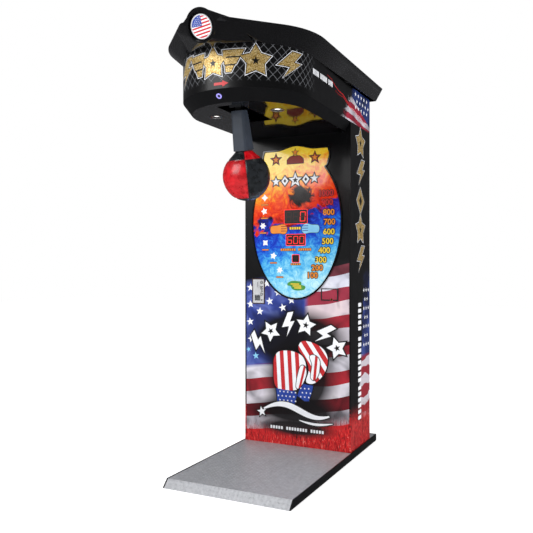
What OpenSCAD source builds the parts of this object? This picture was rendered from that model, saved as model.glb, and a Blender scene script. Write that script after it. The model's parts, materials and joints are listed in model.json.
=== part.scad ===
// Boxing punch machine: a tread-plate platform, a slim cabinet and a head that
// reaches over the player, with a padded bag on a swinging arm.
// The player faces +Y, the head reaches towards -Y, and +Z is up.

/* [Platform] */
// Width of the platform
plat_w = 660; // [600:5:760]
// Length of the platform, front to back
plat_len = 1267; // [1150:1:1450]
// Height of the platform's side rails
plat_h = 40; // [34:1:60]
// Run of the sloped front lip
lip_run = 36; // [20:1:60]
// Thickness of the side rails
rail_t = 6; // [3:0.5:8]
// Thickness of the tread plate
tread_t = 3; // [2:0.5:5]
// Height of the rubber floor pads
pad_h = 10; // [6:1:14]
// Radius of the transport wheels
wheel_r = 36; // [28:1:45]

/* [Cabinet] */
// Width of the cabinet and of the head band
cab_w = 645; // [580:5:700]
// Depth of the cabinet
cab_d = 342; // [280:2:420]
// Platform front edge to the cabinet's front face
cab_setback = 814; // [700:2:900]
// Thickness of the cabinet's sheet steel
sheet_t = 2; // [1.5:0.5:3]
// Side of the square frame tubes
tube_w = 25; // [20:1:30]
// Width of the folded strip at each front corner
corner_w = 8; // [5:1:14]

/* [Head] */
// Height of the head's underside
under_z = 1780; // [1600:5:1900]
// Height of the sloped skirt below the band
skirt_h = 50; // [35:1:70]
// Height of the curved band
band_h = 192; // [150:2:230]
// Height of the flared cap above the band
cap_h = 68; // [50:1:90]
// Reach of the band in front of the cabinet
head_reach = 877; // [760:1:950]
// How far the cap's crest stands in front of the band
cap_reach = 157; // [110:1:190]
// How far the cap stands out past the cabinet's sides
cap_side = 70; // [40:1:90]
// Height of the crest above the cap's rim
crest_h = 46; // [30:1:60]

/* [Bag and arm] */
// Radius of the punch bag
bag_r = 117; // [95:1:130]
// Height of the bag's centre
bag_z = 1479; // [1350:1:1550]
// Distance from the arm's pivot to the bag's centre
arm_len = 410; // [370:1:440]
// Lean of the arm at rest, in degrees
arm_lean = 13; // [0:1:20]
// Radius of the pivot shaft
shaft_r = 10; // [8:0.5:14]
// Radial running clearance in the bearings and hinges
run_gap = 0.05; // [0.02:0.01:0.1]

/* [Display] */
// Clear front face beside the display's rim
disp_margin = 45.5; // [30:0.5:110]
// Oval's widest line up to the apex it heads for
disp_up = 385; // [300:1:400]
// Height of the oval's widest line
disp_z = 1300; // [1200:1:1330]
// Width of the moulded rim around the display
rim_w = 10; // [6:1:16]

/* [Coin entry and hatch] */
// Width of the coin plate
coin_w = 80; // [60:1:90]
// Height of the coin plate
coin_h = 145; // [120:1:170]
// Width of the front service hatch
hatch_w = 100; // [80:1:120]
// Height of the front service hatch
hatch_h = 67; // [55:1:90]

/* [Rear door] */
// Width of the rear service door
door_w = 440; // [300:5:500]
// Height of the rear service door
door_h = 1000; // [600:10:1200]

/* [Hidden] */
$fn = 64;
eps = 0.01;
fit_gap = 0.4;      // clearance between neighbouring fixed pieces
move_gap = 1;       // clearance around a piece that moves

// Places that follow from the sizes above.
total_d = head_reach + cap_reach + plat_len - cab_setback;
cab_y = -total_d / 2 + head_reach + cap_reach;   // cabinet front face
cab_back = cab_y + cab_d;
plat_y = cab_y - cab_setback;                    // platform front edge
plat_back = plat_y + plat_len;
nose_y = -total_d / 2;                           // foremost point of the crest
tread_z = plat_h - 2;                            // top of the tread plate
frame_z = tread_z - tread_t;                     // top of the base tubes
band_z = under_z + skirt_h;                      // lower edge of the band
ledge_z = band_z + band_h;                       // top of the band
rim_z = ledge_z + cap_h;                         // cap rim
crest_z = rim_z + crest_h;
band_r = cab_w / 2;
band_y = cab_y - head_reach + band_r;            // centre of the band's front arc
skirt_in = 30;                                   // skirt's inset at the sides
skirt_r = band_r - skirt_in;
skirt_y = band_y + 20;                           // centre of the underside's arc
cap_w = cab_w + 2 * cap_side;
cap_back = cab_back + 33;
cap_t = 4;

// Arm: the bag's centre lies below and behind the pivot.
pivot_y = band_y - 130;
pivot_z = bag_z + arm_len * cos(arm_lean);
bag_y = pivot_y + arm_len * sin(arm_lean);
bag_top = 122;                                   // bag's centre to its mounting face
seam_d = 83;                                     // bag's centre to the neck seam
neck_r = 46;
flange_t = 8;
arm_w = 28;
hub_r = 24;
sleeve_low = 124;                                // bag's centre to the sleeve's lower end
sleeve_high = 310;
sleeve_t = 3;
slot_w = 120;
slot_front = band_y - 221;
slot_back = band_y + 130;
bearing_x = 110;
buffer_d = 60;                                   // pivot to the rest buffer, along the arm
buffer_l = 20;
buffer_r = 14;
swing_max = 42;

lamp_in = 157.5;                                 // cabinet's side to a lamp's centre
lamp_x = cab_w / 2 - lamp_in;
lamp_y = band_y - 40;
lamp_r = 33;

button_r = 9;
button_tilt = atan2(skirt_h, skirt_r + skirt_y - band_r - band_y + 2 * skirt_in);

disp_a = cab_w / 2 - rim_w - disp_margin;        // half-width of the display's oval
disp_low = disp_a * 430 / 267;                   // widest line to lowest point, in one shape
coin_in = 87.5;                                  // cabinet's side to the coin plate's centre
coin_x = coin_in - cab_w / 2;
coin_z = 905;
hatch_in = 120.5;                                // cabinet's side to the hatch's centre
hatch_x = cab_w / 2 - hatch_in;
hatch_z = 893;
hatch_frame_w = 6;
door_z = 260;                                    // lower edge of the rear door
inlet_in = 132.5;                                // cabinet's side to the inlet's centre
inlet_x = cab_w / 2 - inlet_in;
inlet_z = 150;
board_y = cab_y + 60;                            // face the display electronics stand on

// ---------- helpers ----------

// Box given by its centre in X, and its low Y and Z.
module slab(w, d, h, y, z, x = 0) {
    translate([x - w / 2, y, z]) cube([w, d, h]);
}

// Prism whose outline lies in the YZ plane and runs w wide about x.
module side_prism(w, x = 0) {
    translate([x - w / 2, 0, 0]) rotate([90, 0, 90]) linear_extrude(w) children();
}

// Plate whose outline lies in the XZ plane, from y to y + t.
module face_plate(t, y) {
    translate([0, y + t, 0]) rotate([90, 0, 0]) linear_extrude(t) children();
}

// Cylinder along Y that starts at y and runs back l.
module y_rod(r, l, at) {
    translate(at) rotate([-90, 0, 0]) cylinder(r = r, h = l);
}

module x_rod(r, l, at) {
    translate(at) rotate([0, 90, 0]) cylinder(r = r, h = l, center = true);
}

// Plan of the band: a half circle in front, straight sides to y_end.
module d_plan(r, yc, y_end) {
    difference() {
        translate([0, yc]) circle(r, $fn = 180);
        translate([-r - 1, yc]) square([2 * r + 2, r + 2]);
    }
    translate([-r, yc - eps]) square([2 * r, y_end - yc + eps]);
}

module rounded_square(w, d, r) {
    for (sx = [-1, 1], sy = [-1, 1])
        translate([sx * (w / 2 - r), sy * (d / 2 - r)]) circle(r, $fn = 32);
    square([w, d - 2 * r], center = true);
    square([w - 2 * r, d], center = true);
}

// Places the children in the arm's own frame: origin at the bag's centre,
// +Z along the arm towards the pivot.
module arm_axis() {
    translate([0, bag_y, bag_z]) rotate([arm_lean, 0, 0]) children();
}

// Frame of the start button: origin on the skirt's face, +Z along its push axis.
module button_axis() {
    translate([0, (band_y - band_r + skirt_y - skirt_r) / 2, band_z - skirt_h / 2])
        rotate([90 + button_tilt, 0, 0]) children();
}

// Frame of the round badge on the crest: +Z points out of its face.
badge_lean = 21.5;
badge_r = 47;
crest_r = 72;
crest_up = 6;            // crest's arc above the badge's centre
crest_lip = 10;          // crest's rim in front of the badge's seat
lip_t = 4;
module badge_axis() {
    top = crest_r + crest_up;
    translate([0, nose_y + top * sin(badge_lean) + crest_lip * cos(badge_lean),
               crest_z - top * cos(badge_lean) + (crest_lip - lip_t) * sin(badge_lean)])
        rotate([90 + badge_lean, 0, 0]) children();
}

// ---------- platform ----------

cross_n = 5;
bay_front = plat_y + lip_run + 14;
bay_pitch = (plat_back - 8 - tube_w - bay_front) / (cross_n - 1);
long_x = plat_w / 2 - rail_t - 14 - tube_w / 2;
wheel_in = 95;           // platform's side to a wheel's centre
wheel_x = plat_w / 2 - wheel_in;
wheel_w = 24;
wheel_y = plat_back - wheel_r - 2;
wheel_z = wheel_r + 3;
axle_r = 5;
fork_t = 4;

module wheel_wells() {
    for (s = [-1, 1])
        slab(wheel_w + 2 * fork_t + 8, 2 * wheel_r + 12, plat_h, wheel_y - wheel_r - 6, 0,
             s * wheel_x);
}

module base_frame() color("#1b1c1e") difference() {
    union() {
        for (x = [-long_x, 0, long_x])
            slab(tube_w, plat_back - 8 - bay_front, frame_z - pad_h, bay_front, pad_h, x);
        for (i = [0:cross_n - 1])
            slab(2 * long_x, tube_w, frame_z - pad_h, bay_front + i * bay_pitch, pad_h);
        slab(plat_w - 2 * rail_t - 1, 4, plat_h - 4, plat_back - 4, 4);
        slab(plat_w - 2 * rail_t - 1, 9, 4, plat_back - 9, pad_h);
    }
    wheel_wells();
}

module tread_plate() color("silver") difference() {
    side_prism(plat_w - 2 * rail_t - 1) polygon([
        [plat_y, 2], [plat_y + lip_run, tread_z], [plat_back - 4.5, tread_z],
        [plat_back - 4.5, frame_z], [plat_y + lip_run + 1.5, frame_z],
        [plat_y + 4.5, 2]]);
    wheel_wells();
}

module rail(side) color("#141416")
    side_prism(rail_t, side * (plat_w - rail_t) / 2) polygon([
        [plat_y, 2], [plat_y, 5], [plat_y + lip_run - 2, plat_h],
        [plat_back, plat_h], [plat_back, 2]]);
module rail_left() rail(-1);
module rail_right() rail(1);

module floor_pads() color("#202020")
    for (s = [-1, 1], i = [0, 2, 3])
        translate([s * long_x, bay_front + i * bay_pitch + tube_w / 2, 0])
            difference() {
                cylinder(r = 20, h = pad_h);
                translate([0, 0, -eps]) cylinder(r = 5, h = 4);
            }

module wheel_brackets() color("#4a4c50")
    for (s = [-1, 1], t = [-1, 1])
        translate([s * wheel_x + t * (wheel_w / 2 + 2 + fork_t / 2), 0, 0]) {
            difference() {
                side_prism(fork_t) polygon([
                    [wheel_y - wheel_r + 10, tread_z], [wheel_y - wheel_r - 26, tread_z],
                    [wheel_y - wheel_r - 26, tread_z + 6], [wheel_y - 12, wheel_z + 16],
                    [wheel_y + 12, wheel_z + 16], [wheel_y + 12, wheel_z - 14],
                    [wheel_y - 12, wheel_z - 14]]);
                x_rod(axle_r + run_gap, 3 * fork_t, [0, wheel_y, wheel_z]);
            }
            slab(fork_t, 18, 4, wheel_y - wheel_r - 26, tread_z);
        }

module wheel(side) translate([side * wheel_x, wheel_y, wheel_z]) rotate([0, 90, 0]) {
    color("#1d1d1f") rotate_extrude($fn = 96) polygon([
        [0, -wheel_w / 2], [wheel_r - 14, -wheel_w / 2], [wheel_r - 10, -wheel_w / 2 + 3],
        [wheel_r - 7, -wheel_w / 2], [wheel_r - 3, -wheel_w / 2], [wheel_r, -wheel_w / 2 + 4],
        [wheel_r, wheel_w / 2 - 4], [wheel_r - 3, wheel_w / 2], [wheel_r - 7, wheel_w / 2],
        [wheel_r - 10, wheel_w / 2 - 3], [wheel_r - 14, wheel_w / 2], [0, wheel_w / 2]]);
    color("silver") cylinder(r = axle_r, h = wheel_w + 4 * fork_t, center = true);
}
module wheel_left() wheel(-1);
module wheel_right() wheel(1);

// ---------- cabinet ----------

cab_top = band_z - 0.5;
post_in = sheet_t + fit_gap;

module cabinet_frame() color("#2a2c30") {
    x = cab_w / 2 - post_in - tube_w / 2;
    y0 = cab_y + post_in + 12;
    y1 = cab_back - post_in - tube_w;
    for (s = [-1, 1], y = [y0, y1])
        slab(tube_w, tube_w, cab_top - tread_z - 1, y, tread_z, s * x);
    for (z = [tread_z, shelf_z - tube_w, cab_top - 1 - tube_w]) {
        slab(2 * x, tube_w, tube_w, y1, z);
        for (s = [-1, 1]) slab(tube_w, y1 - y0, tube_w, y0, z, s * x);
    }
    slab(2 * x, tube_w, tube_w, y0, tread_z);
    slab(2 * x, tube_w, tube_w, y0, cab_top - 1 - tube_w);
}

module side_panel(side) color("#101114") mirror([side < 0 ? 1 : 0, 0, 0])
    translate([cab_w / 2, 0, tread_z + fit_gap]) linear_extrude(cab_top - tread_z - fit_gap)
        polygon([
            [0, cab_y], [0, cab_back], [-20, cab_back], [-20, cab_back - sheet_t],
            [-sheet_t, cab_back - sheet_t], [-sheet_t, cab_y + sheet_t],
            [-corner_w, cab_y + sheet_t], [-corner_w, cab_y]]);
module side_left() side_panel(-1);
module side_right() side_panel(1);

// Display outline: an oval below, cut off by a flag-shaped crown above.
// g grows it all round.
crown_z = 297;           // crown's lower corner above the widest line
function oval_x(z, g) =
    (disp_a + g) * sqrt(max(0, 1 - pow(z / ((z < 0 ? disp_low : disp_up) + g), 2)));
function wave(x) = abs(x) < 120 ? 11 * (1 + cos(1.5 * x)) : 0;
function half_shield(g) = concat(
    [for (a = [-90:6:-6]) [(disp_a + g) * cos(a), (disp_low + g) * sin(a)]],
    [for (z = [0:27:crown_z]) [oval_x(z, g), z]],
    [[disp_a * 0.695 + g, crown_z + 11], [disp_a * 0.745 + g, crown_z + 60],
     [disp_a * 0.745 + g, crown_z + 76], [disp_a * 0.715 + g, crown_z + 103 + g]],
    [for (x = [150:-15:15]) [x, crown_z + 103 + g + wave(x)]]);
function mirrored(p) = [for (i = [len(p) - 1:-1:0]) if (p[i][0] > eps) [-p[i][0], p[i][1]]];
module shield(g = 0) {
    h = half_shield(g);
    translate([0, disp_z])
        polygon(concat(h, [[0, crown_z + 103 + g + wave(0)]], mirrored(h)));
}

module front_panel() color("#0e0f12") difference() {
    slab(cab_w - 2 * corner_w - 1, sheet_t, cab_top - tread_z - fit_gap, cab_y,
         tread_z + fit_gap);
    face_plate(sheet_t + 2, cab_y - 1) shield(-4);
    slab(coin_w - 14, sheet_t + 2, coin_h - 14, cab_y - 1, coin_z - coin_h / 2 + 7, coin_x);
    slab(hatch_w - 8, sheet_t + 2, hatch_h - 8, cab_y - 1, hatch_z - hatch_h / 2 + 4, hatch_x);
    for (i = [-3:3], j = [-3:3])
        if (i * i + j * j < 12) y_rod(2.5, 4, [9 * i, cab_y - 1, 115 + 9 * j]);
}

door_y = cab_back - sheet_t;
back_w = cab_w - 41;
back_low = tread_z + fit_gap;
// The mains inlet has its own plate in a corner of the back panel.
plate_w = back_w / 2 - inlet_x + 68;
plate_x = (back_w - plate_w) / 2;
plate_h = inlet_z - back_low + 53;
module back_panel() color("#111214") difference() {
    slab(back_w, sheet_t, cab_top - back_low, door_y, back_low);
    slab(plate_w + 2 * fit_gap, 6, plate_h + fit_gap + 1, door_y - 2, back_low - 1, plate_x);
    slab(door_w + 2 * move_gap, 6, door_h + 2 * move_gap, door_y - 2, door_z - move_gap);
    for (i = [0:7])
        slab(220, 6, 8, door_y - 2, door_z + door_h + 120 + 22 * i);
}

module inlet_plate() color("#111214") difference() {
    slab(plate_w, sheet_t, plate_h, door_y, back_low, plate_x);
    slab(58, 6, 30, door_y - 2, inlet_z - 15, inlet_x);
}

// The rear door turns about pins at its left edge, just outside the panel.
hinge_r = 4;
hinge_x = -door_w / 2 - 3;
hinge_y = cab_back + hinge_r + 1;
hinge_h = 60;
function hinge_zs() = [door_z + 120, door_z + door_h / 2, door_z + door_h - 120];

module rear_door() color("#121316") {
    difference() {
        union() {
            slab(door_w, sheet_t, door_h, door_y, door_z);
            slab(door_w - 40, 16, 3, door_y - 14, door_z + 12);
            slab(door_w - 40, 16, 3, door_y - 14, door_z + door_h - 15);
        }
        for (i = [0:9], s = [-1, 1])
            slab(90, 6, 7, door_y - 2, door_z + 90 + 20 * i, s * 70);
        y_rod(8, 8, [door_w / 2 - 30, door_y - 3, door_z + door_h / 2]);
    }
    for (z = hinge_zs()) difference() {
        union() {
            translate([hinge_x, hinge_y, z + move_gap / 2])
                cylinder(r = hinge_r, h = hinge_h / 2 - move_gap);
            slab(24, 3, hinge_h / 2 - move_gap, cab_back, z + move_gap / 2, hinge_x + 15);
            slab(8, 5, hinge_h / 2 - move_gap, cab_back, z + move_gap / 2, hinge_x + 6);
        }
        translate([hinge_x, hinge_y, z - 1]) cylinder(r = 2 + run_gap, h = hinge_h);
    }
}

module rear_hinges() color("#3a3c40")
    for (z = hinge_zs()) {
        translate([hinge_x, hinge_y, z - hinge_h / 2]) cylinder(r = hinge_r, h = hinge_h / 2);
        translate([hinge_x, hinge_y, z - hinge_h / 2]) cylinder(r = 2, h = hinge_h - 2);
        slab(24, 3, hinge_h / 2, cab_back, z - hinge_h / 2, hinge_x - 14);
        slab(8, 5, hinge_h / 2, cab_back, z - hinge_h / 2, hinge_x - 5);
    }

module cam_lock(r, shank, tab) {
    cylinder(r = r + 2, h = 2.5);
    translate([0, 0, -shank]) cylinder(r = r - run_gap, h = shank + eps);
    translate([-4, -4, -shank - 2.5]) cube([8, tab + 4, 2.5 + eps]);
}

module rear_lock() color("silver")
    translate([door_w / 2 - 30, cab_back + 0.3, door_z + door_h / 2])
        rotate([-90, 0, 0]) difference() {
            cam_lock(8, 12, 36);
            translate([-0.8, -4, 1.5]) cube([1.6, 8, 2]);
        }

module anchor_bolts() color("silver")
    for (s = [-1, 1], y = [cab_y + 60, cab_back - 60])
        translate([s * (cab_w / 2 - 60), y, tread_z]) {
            cylinder(r = 12, h = 2);
            translate([0, 0, 2]) cylinder(r = 8, h = 6, $fn = 6);
        }

// ---------- display ----------

lens_t = 4;
module display_bezel() color("#0b0b0d") difference() {
    face_plate(9, cab_y - 9) shield(rim_w);
    face_plate(11, cab_y - 10) shield(0);
}

module display_lens() color("orangered") face_plate(lens_t, cab_y - lens_t) shield(-0.5);

module display_board() color("#14532d") {
    slab(300, 2, 560, board_y, disp_z - 330);
    for (s = [-1, 1], z = [disp_z - 320, disp_z + 220])
        y_rod(4, board_y - cab_y - sheet_t, [s * 140, cab_y + sheet_t, z + 4]);
}

module led_window(w, h, z, digits) {
    t = board_y - cab_y - 0.3;
    color("#18100c") difference() {
        slab(w, t, h, cab_y + 0.2, z - h / 2);
        slab(w - 12, 2, h - 12, cab_y, z - h / 2 + 6);
    }
    color("red") for (i = [0:digits - 1])
        slab((w - 16) / digits - 4, 1.5, h - 18, cab_y + 0.8, z - h / 2 + 9,
             (i - (digits - 1) / 2) * (w - 14) / digits);
}
module score_display() led_window(144, 83, 1327, 3);
module record_display() led_window(120, 66, 1197, 3);
module credit_display() led_window(46, 46, 1092, 1);

// ---------- coin entry, hatch and electrics ----------

cup_w = 36;
cup_h = 32;
cup_x = coin_x - 6;
cup_z = coin_z - 38;
reject_z = coin_z + 2;
reject_r = 9;
flap_t = 1.6;
plate_t = 2.5;

module coin_bezel() color("#5a4636") difference() {
    slab(coin_w, 5, coin_h, cab_y - 5, coin_z - coin_h / 2, coin_x);
    slab(coin_w - 9, 7, coin_h - 9, cab_y - 6, coin_z - coin_h / 2 + 4.5, coin_x);
}

module coin_plate() color("silver") difference() {
    union() {
        slab(coin_w - 10, plate_t, coin_h - 10, cab_y - plate_t - 0.3, coin_z - coin_h / 2 + 5,
             coin_x);
        slab(14, 6, 42, cab_y - 6, coin_z + 17, coin_x - 4);
    }
    slab(3.2, 12, 30, cab_y - 8, coin_z + 23, coin_x - 4);
    y_rod(reject_r + run_gap, 8, [coin_x + 12, cab_y - 6, reject_z]);
    slab(cup_w, 8, cup_h, cab_y - 6, cup_z - cup_h / 2, cup_x);
}

module reject_button() color("#c8c8cc")
    translate([coin_x + 12, cab_y - 7, reject_z]) rotate([-90, 0, 0]) {
        cylinder(r = reject_r, h = 11);
        translate([0, 0, 11 - eps]) cylinder(r = reject_r + 2, h = 1.5);
    }

// The return flap hangs from a pin across the top of the cup.
module coin_flap() color("#9a9ca0") {
    slab(cup_w - 2, flap_t, cup_h - 4, cab_y + 1.5, cup_z - cup_h / 2 + 1, cup_x);
    x_rod(2, cup_w - 2, [cup_x, cab_y + 3, cup_z + cup_h / 2 - 4]);
    x_rod(1.2, cup_w + 6, [cup_x, cab_y + 3, cup_z + cup_h / 2 - 4]);
}

// Coin mechanism with the return cup below it and an open coin throat above.
mech_d = 70;
module coin_mech() color("#6e7176") difference() {
    slab(coin_w - 18, mech_d, coin_h - 18, cab_y, coin_z - coin_h / 2 + 9, coin_x);
    slab(3.6, mech_d + 9, 34, cab_y - 1, coin_z + 21, coin_x - 4);
    slab(cup_w + 4, 40, cup_h + 2, cab_y - 1, cup_z - cup_h / 2 - 1, cup_x);
    y_rod(reject_r + 4, 12, [coin_x + 12, cab_y - 1, reject_z]);
    x_rod(1.2 + run_gap, cup_w + 8, [cup_x, cab_y + 3, cup_z + cup_h / 2 - 4]);
}

shelf_z = 475;          // top of the mid tubes, which carry the cash box
box_z = shelf_z + 3;
module coin_chute() color("#7c8086") difference() {
    slab(44, 30, coin_z - coin_h / 2 + 8.6 - box_z - 160, cab_y + 36, box_z + 160, coin_x + 5);
    slab(38, 24, 300, cab_y + 39, box_z + 150, coin_x + 5);
}

module cash_box() color("#5d6268") {
    difference() {
        slab(130, 220, 150, cab_y + 30, box_z, coin_x + 25);
        slab(126, 216, 150, cab_y + 32, box_z + 2, coin_x + 25);
    }
    y_rod(3, 8, [coin_x + 25, cab_y + 250 - eps, box_z + 120]);
    slab(150, cab_d - 58, 3, cab_y + 20, shelf_z, coin_x + 15);
    slab(175, cab_d - 110, 3, cab_y + 50, shelf_z, coin_x + 3);
}

hatch_y = cab_y - 4;
module hatch_frame() color("#0c0c0e") difference() {
    slab(hatch_w, 4, hatch_h, hatch_y, hatch_z - hatch_h / 2, hatch_x);
    slab(hatch_w - 2 * hatch_frame_w, 6, hatch_h - 2 * hatch_frame_w, hatch_y - 1,
         hatch_z - hatch_h / 2 + hatch_frame_w, hatch_x);
    slab(18, 6, 10, hatch_y - 1, hatch_z - hatch_h / 2, hatch_x + 11);
    x_rod(2 + run_gap, hatch_in_w + 1, [hatch_x, hatch_y, hatch_z + hatch_in_h / 2 + 0.2]);
}

// The hatch turns up about a pin along its top edge.
hatch_in_w = hatch_w - 2 * hatch_frame_w - 1.4;
hatch_in_h = hatch_h - 2 * hatch_frame_w - 1.4;
module service_hatch() color("firebrick") difference() {
    union() {
        slab(hatch_in_w, 2, hatch_in_h, hatch_y, hatch_z - hatch_in_h / 2, hatch_x);
        x_rod(2, hatch_in_w, [hatch_x, hatch_y, hatch_z + hatch_in_h / 2 + 0.2]);
        slab(16, 2, 8, hatch_y, hatch_z - hatch_in_h / 2 - 6, hatch_x + 11);
    }
    y_rod(4.5, 4, [hatch_x + 11, hatch_y - 1, hatch_z - hatch_in_h / 2]);
}

module hatch_lock() color("goldenrod")
    translate([hatch_x + 11, hatch_y - 0.2, hatch_z - hatch_in_h / 2])
        rotate([90, 0, 0]) difference() {
            union() {
                cylinder(r = 5.8, h = 1.6);
                translate([0, 0, -6.5]) cylinder(r = 2.4, h = 5);
                translate([0, 0, -2.2]) cylinder(r = 4.5 - run_gap, h = 2.2 + eps);
                translate([-2.4, -2.4, -8]) cube([4.8, 14, 1.5 + eps]);
            }
            translate([-0.6, -2.5, 0.6]) cube([1.2, 5, 2]);
        }

module speaker() color("#2b2b2e") {
    translate([0, cab_y + sheet_t + 0.3, 115]) rotate([-90, 0, 0]) difference() {
        union() {
            cylinder(r = 52, h = 6);
            translate([0, 0, 6 - eps]) cylinder(r1 = 48, r2 = 24, h = 26);
            translate([0, 0, 30]) cylinder(r = 30, h = 16);
        }
        translate([0, 0, -eps]) cylinder(r1 = 44, r2 = 16, h = 24);
    }
}

// The electrics stand on plates against the right-hand side panel.
wall_x = cab_w / 2 - sheet_t - 0.3;
module power_supply() color("#a9adb2") {
    slab(3, 150, 245, cab_y + 100, 195, wall_x - 1.5);
    slab(50, 110, 215, cab_y + 120, 210, wall_x - 28);
}

module control_board() color("#0f5c3a") {
    slab(3, 230, 270, cab_y + 70, 685, wall_x - 1.5);
    for (y = [105, 265], z = [720, 920]) x_rod(3, 10, [wall_x - 8, cab_y + y, z]);
    slab(2, 190, 240, cab_y + 90, 700, wall_x - 14);
    slab(14, 60, 60, cab_y + 150, 790, wall_x - 22);
}

module power_inlet() color("#18181a") difference() {
    union() {
        slab(62, 3, 34, cab_back, inlet_z - 17, inlet_x);
        slab(56, 26, 28, cab_back - 26, inlet_z - 14, inlet_x);
    }
    slab(24, 18, 17, cab_back - 14, inlet_z - 8.5, inlet_x - 12);
    slab(15, 22, 23, cab_back - 10, inlet_z - 11.5, inlet_x + 17);
    x_rod(1.5 + run_gap, 18, [inlet_x + 17, rocker_y, inlet_z]);
}

rocker_y = cab_back - 1;
module power_rocker() color("#8b1a1a") {
    side_prism(12.6, inlet_x + 17) translate([rocker_y, inlet_z])
        polygon([[-5, -5], [4.5, -8], [3, 0], [4.5, 8], [-5, 5]]);
    x_rod(1.5, 17, [inlet_x + 17, rocker_y, inlet_z]);
}

// ---------- head ----------

module head_band() color("#0d0e11") translate([0, 0, band_z]) difference() {
    linear_extrude(band_h) d_plan(band_r, band_y, cab_back);
    translate([0, 0, -1]) linear_extrude(band_h + 2)
        d_plan(band_r - sheet_t, band_y, cab_back - sheet_t);
}

module skirt_solid(shrink, over) hull() {
    translate([0, 0, band_z - eps]) linear_extrude(eps + over)
        d_plan(band_r - shrink, band_y, cab_y - 0.3);
    translate([0, 0, under_z - over]) linear_extrude(eps + over)
        d_plan(skirt_r - shrink, skirt_y, cab_y - 0.3);
}

module head_skirt() color("#0b0c0e") difference() {
    skirt_solid(0, 0);
    skirt_solid(sheet_t, 0.2);
    slab(cab_w, 8, skirt_h + 2, cab_y - 5, under_z - 1);
    button_axis() cylinder(r = button_r + 1.2, h = 30, center = true);
}

panel_t = 3;
module underside_panel() color("#17181c") difference() {
    translate([0, 0, under_z]) linear_extrude(panel_t)
        d_plan(skirt_r - sheet_t - 0.3, skirt_y, cab_y - 0.3);
    slab(slot_w, slot_back - slot_front, 10, slot_front, under_z - 2);
    for (s = [-1, 1])
        translate([s * lamp_x, lamp_y, under_z - 1]) cylinder(r = lamp_r - 5, h = 20);
}

module lamp_rings() color("#8d9096")
    for (s = [-1, 1]) translate([s * lamp_x, lamp_y, under_z]) difference() {
        union() {
            translate([0, 0, -1.5]) cylinder(r = lamp_r, h = 1.5);
            translate([0, 0, -eps]) cylinder(r = lamp_r - 5.3, h = 24);
        }
        translate([0, 0, -2]) cylinder(r1 = lamp_r - 4, r2 = lamp_r - 10, h = 11);
        translate([0, 0, 8.9]) cylinder(r = lamp_r - 10, h = 8);
    }

module lamp_lenses() color("white")
    for (s = [-1, 1]) translate([s * lamp_x, lamp_y, under_z + 9])
        cylinder(r = lamp_r - 10 - run_gap, h = 3);

// Cap outline at the rim: a blunt prow with round shoulders.
nose_r = 160;
shoulder_r = 355;
shoulder_y = band_y - 12;
module cap_plan(g = 0) hull() {
    translate([0, nose_y + nose_r - 13]) circle(nose_r + g, $fn = 96);
    for (s = [-1, 1]) {
        translate([s * (cap_w / 2 - shoulder_r), shoulder_y])
            circle(shoulder_r + g, $fn = 144);
        translate([s * (cap_w / 2 - 14), cap_back - 14]) circle(14 + g, $fn = 32);
    }
}

// Outline where the cap meets the band; its sides widen a little to the back.
module ledge_plan(g = 0) {
    d_plan(band_r + g, band_y, cab_back);
    polygon([[-band_r - g, band_y], [band_r + g, band_y],
        [band_r + 28 + g, cap_back + g], [-band_r - 28 - g, cap_back + g]]);
}

// g grows the plan, low carries it below the ledge and drop lowers its top.
module cap_solid(g = 0, low = 0, drop = 0) hull() {
    translate([0, 0, ledge_z - low]) linear_extrude(eps + low) ledge_plan(g);
    translate([0, 0, rim_z - 6 - drop]) linear_extrude(4) cap_plan(g);
    translate([0, 0, rim_z - eps - drop]) linear_extrude(eps) cap_plan(g - 3);
}

// Hump that carries the badge and fades out over the cap's top.
module crest() hull() {
    badge_axis() translate([0, 0, crest_lip - lip_t]) {
        translate([0, crest_up, 0]) cylinder(r = crest_r, h = lip_t, $fn = 64);
        translate([0, -2, 0]) cylinder(r = crest_r - 10, h = lip_t, $fn = 64);
    }
    for (s = [-1, 1]) translate([s * crest_r, nose_y + 80, rim_z - 16]) sphere(r = 14, $fn = 24);
    translate([0, nose_y + 230, rim_z - 20]) sphere(r = 18, $fn = 24);
}

// Block that cuts the prow off flat, z in front of the badge's seat.
module prow_cut(z) badge_axis()
    translate([-2 * crest_r, -2 * crest_r, z]) cube([4 * crest_r, 4 * crest_r, 2 * crest_r]);

module head_cap() color("#08080a") difference() {
    union() {
        difference() {
            cap_solid();
            prow_cut(crest_lip - 1.5);
        }
        crest();
    }
    difference() {
        cap_solid(-2 * cap_t, 3, cap_t);
        prow_cut(-6);
    }
    slab(cab_w, total_d, band_h, band_y - band_r - 20, ledge_z - band_h);
    badge_axis() cylinder(r = badge_r + 15, h = crest_lip + 1);
}

module badge_ring() color("silver") badge_axis() difference() {
    cylinder(r = badge_r + 4, h = 6);
    translate([0, 0, -1]) cylinder(r = badge_r, h = 9);
}

module badge_disc() color("#a02030") badge_axis() cylinder(r = badge_r - run_gap, h = 4.5);

module button_bezel() color("#b9b4c9") button_axis() difference() {
    union() {
        cylinder(r = button_r + 4, h = 2);
        translate([0, 0, -18]) cylinder(r = button_r + 1, h = 18 + eps);
        translate([0, 0, -10]) cylinder(r = button_r + 5, h = 5, $fn = 6);
    }
    translate([0, 0, -19]) cylinder(r = button_r - 2, h = 22);
}

module start_button() color("#d9d9e2") button_axis() {
    translate([0, 0, -16]) cylinder(r = button_r - 2 - run_gap, h = 18);
    translate([0, 0, 2 - eps]) cylinder(r1 = button_r - 2 - run_gap, r2 = button_r - 3, h = 1);
}

frame_low = pivot_z + 27;       // underside of the head's long tubes
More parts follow.
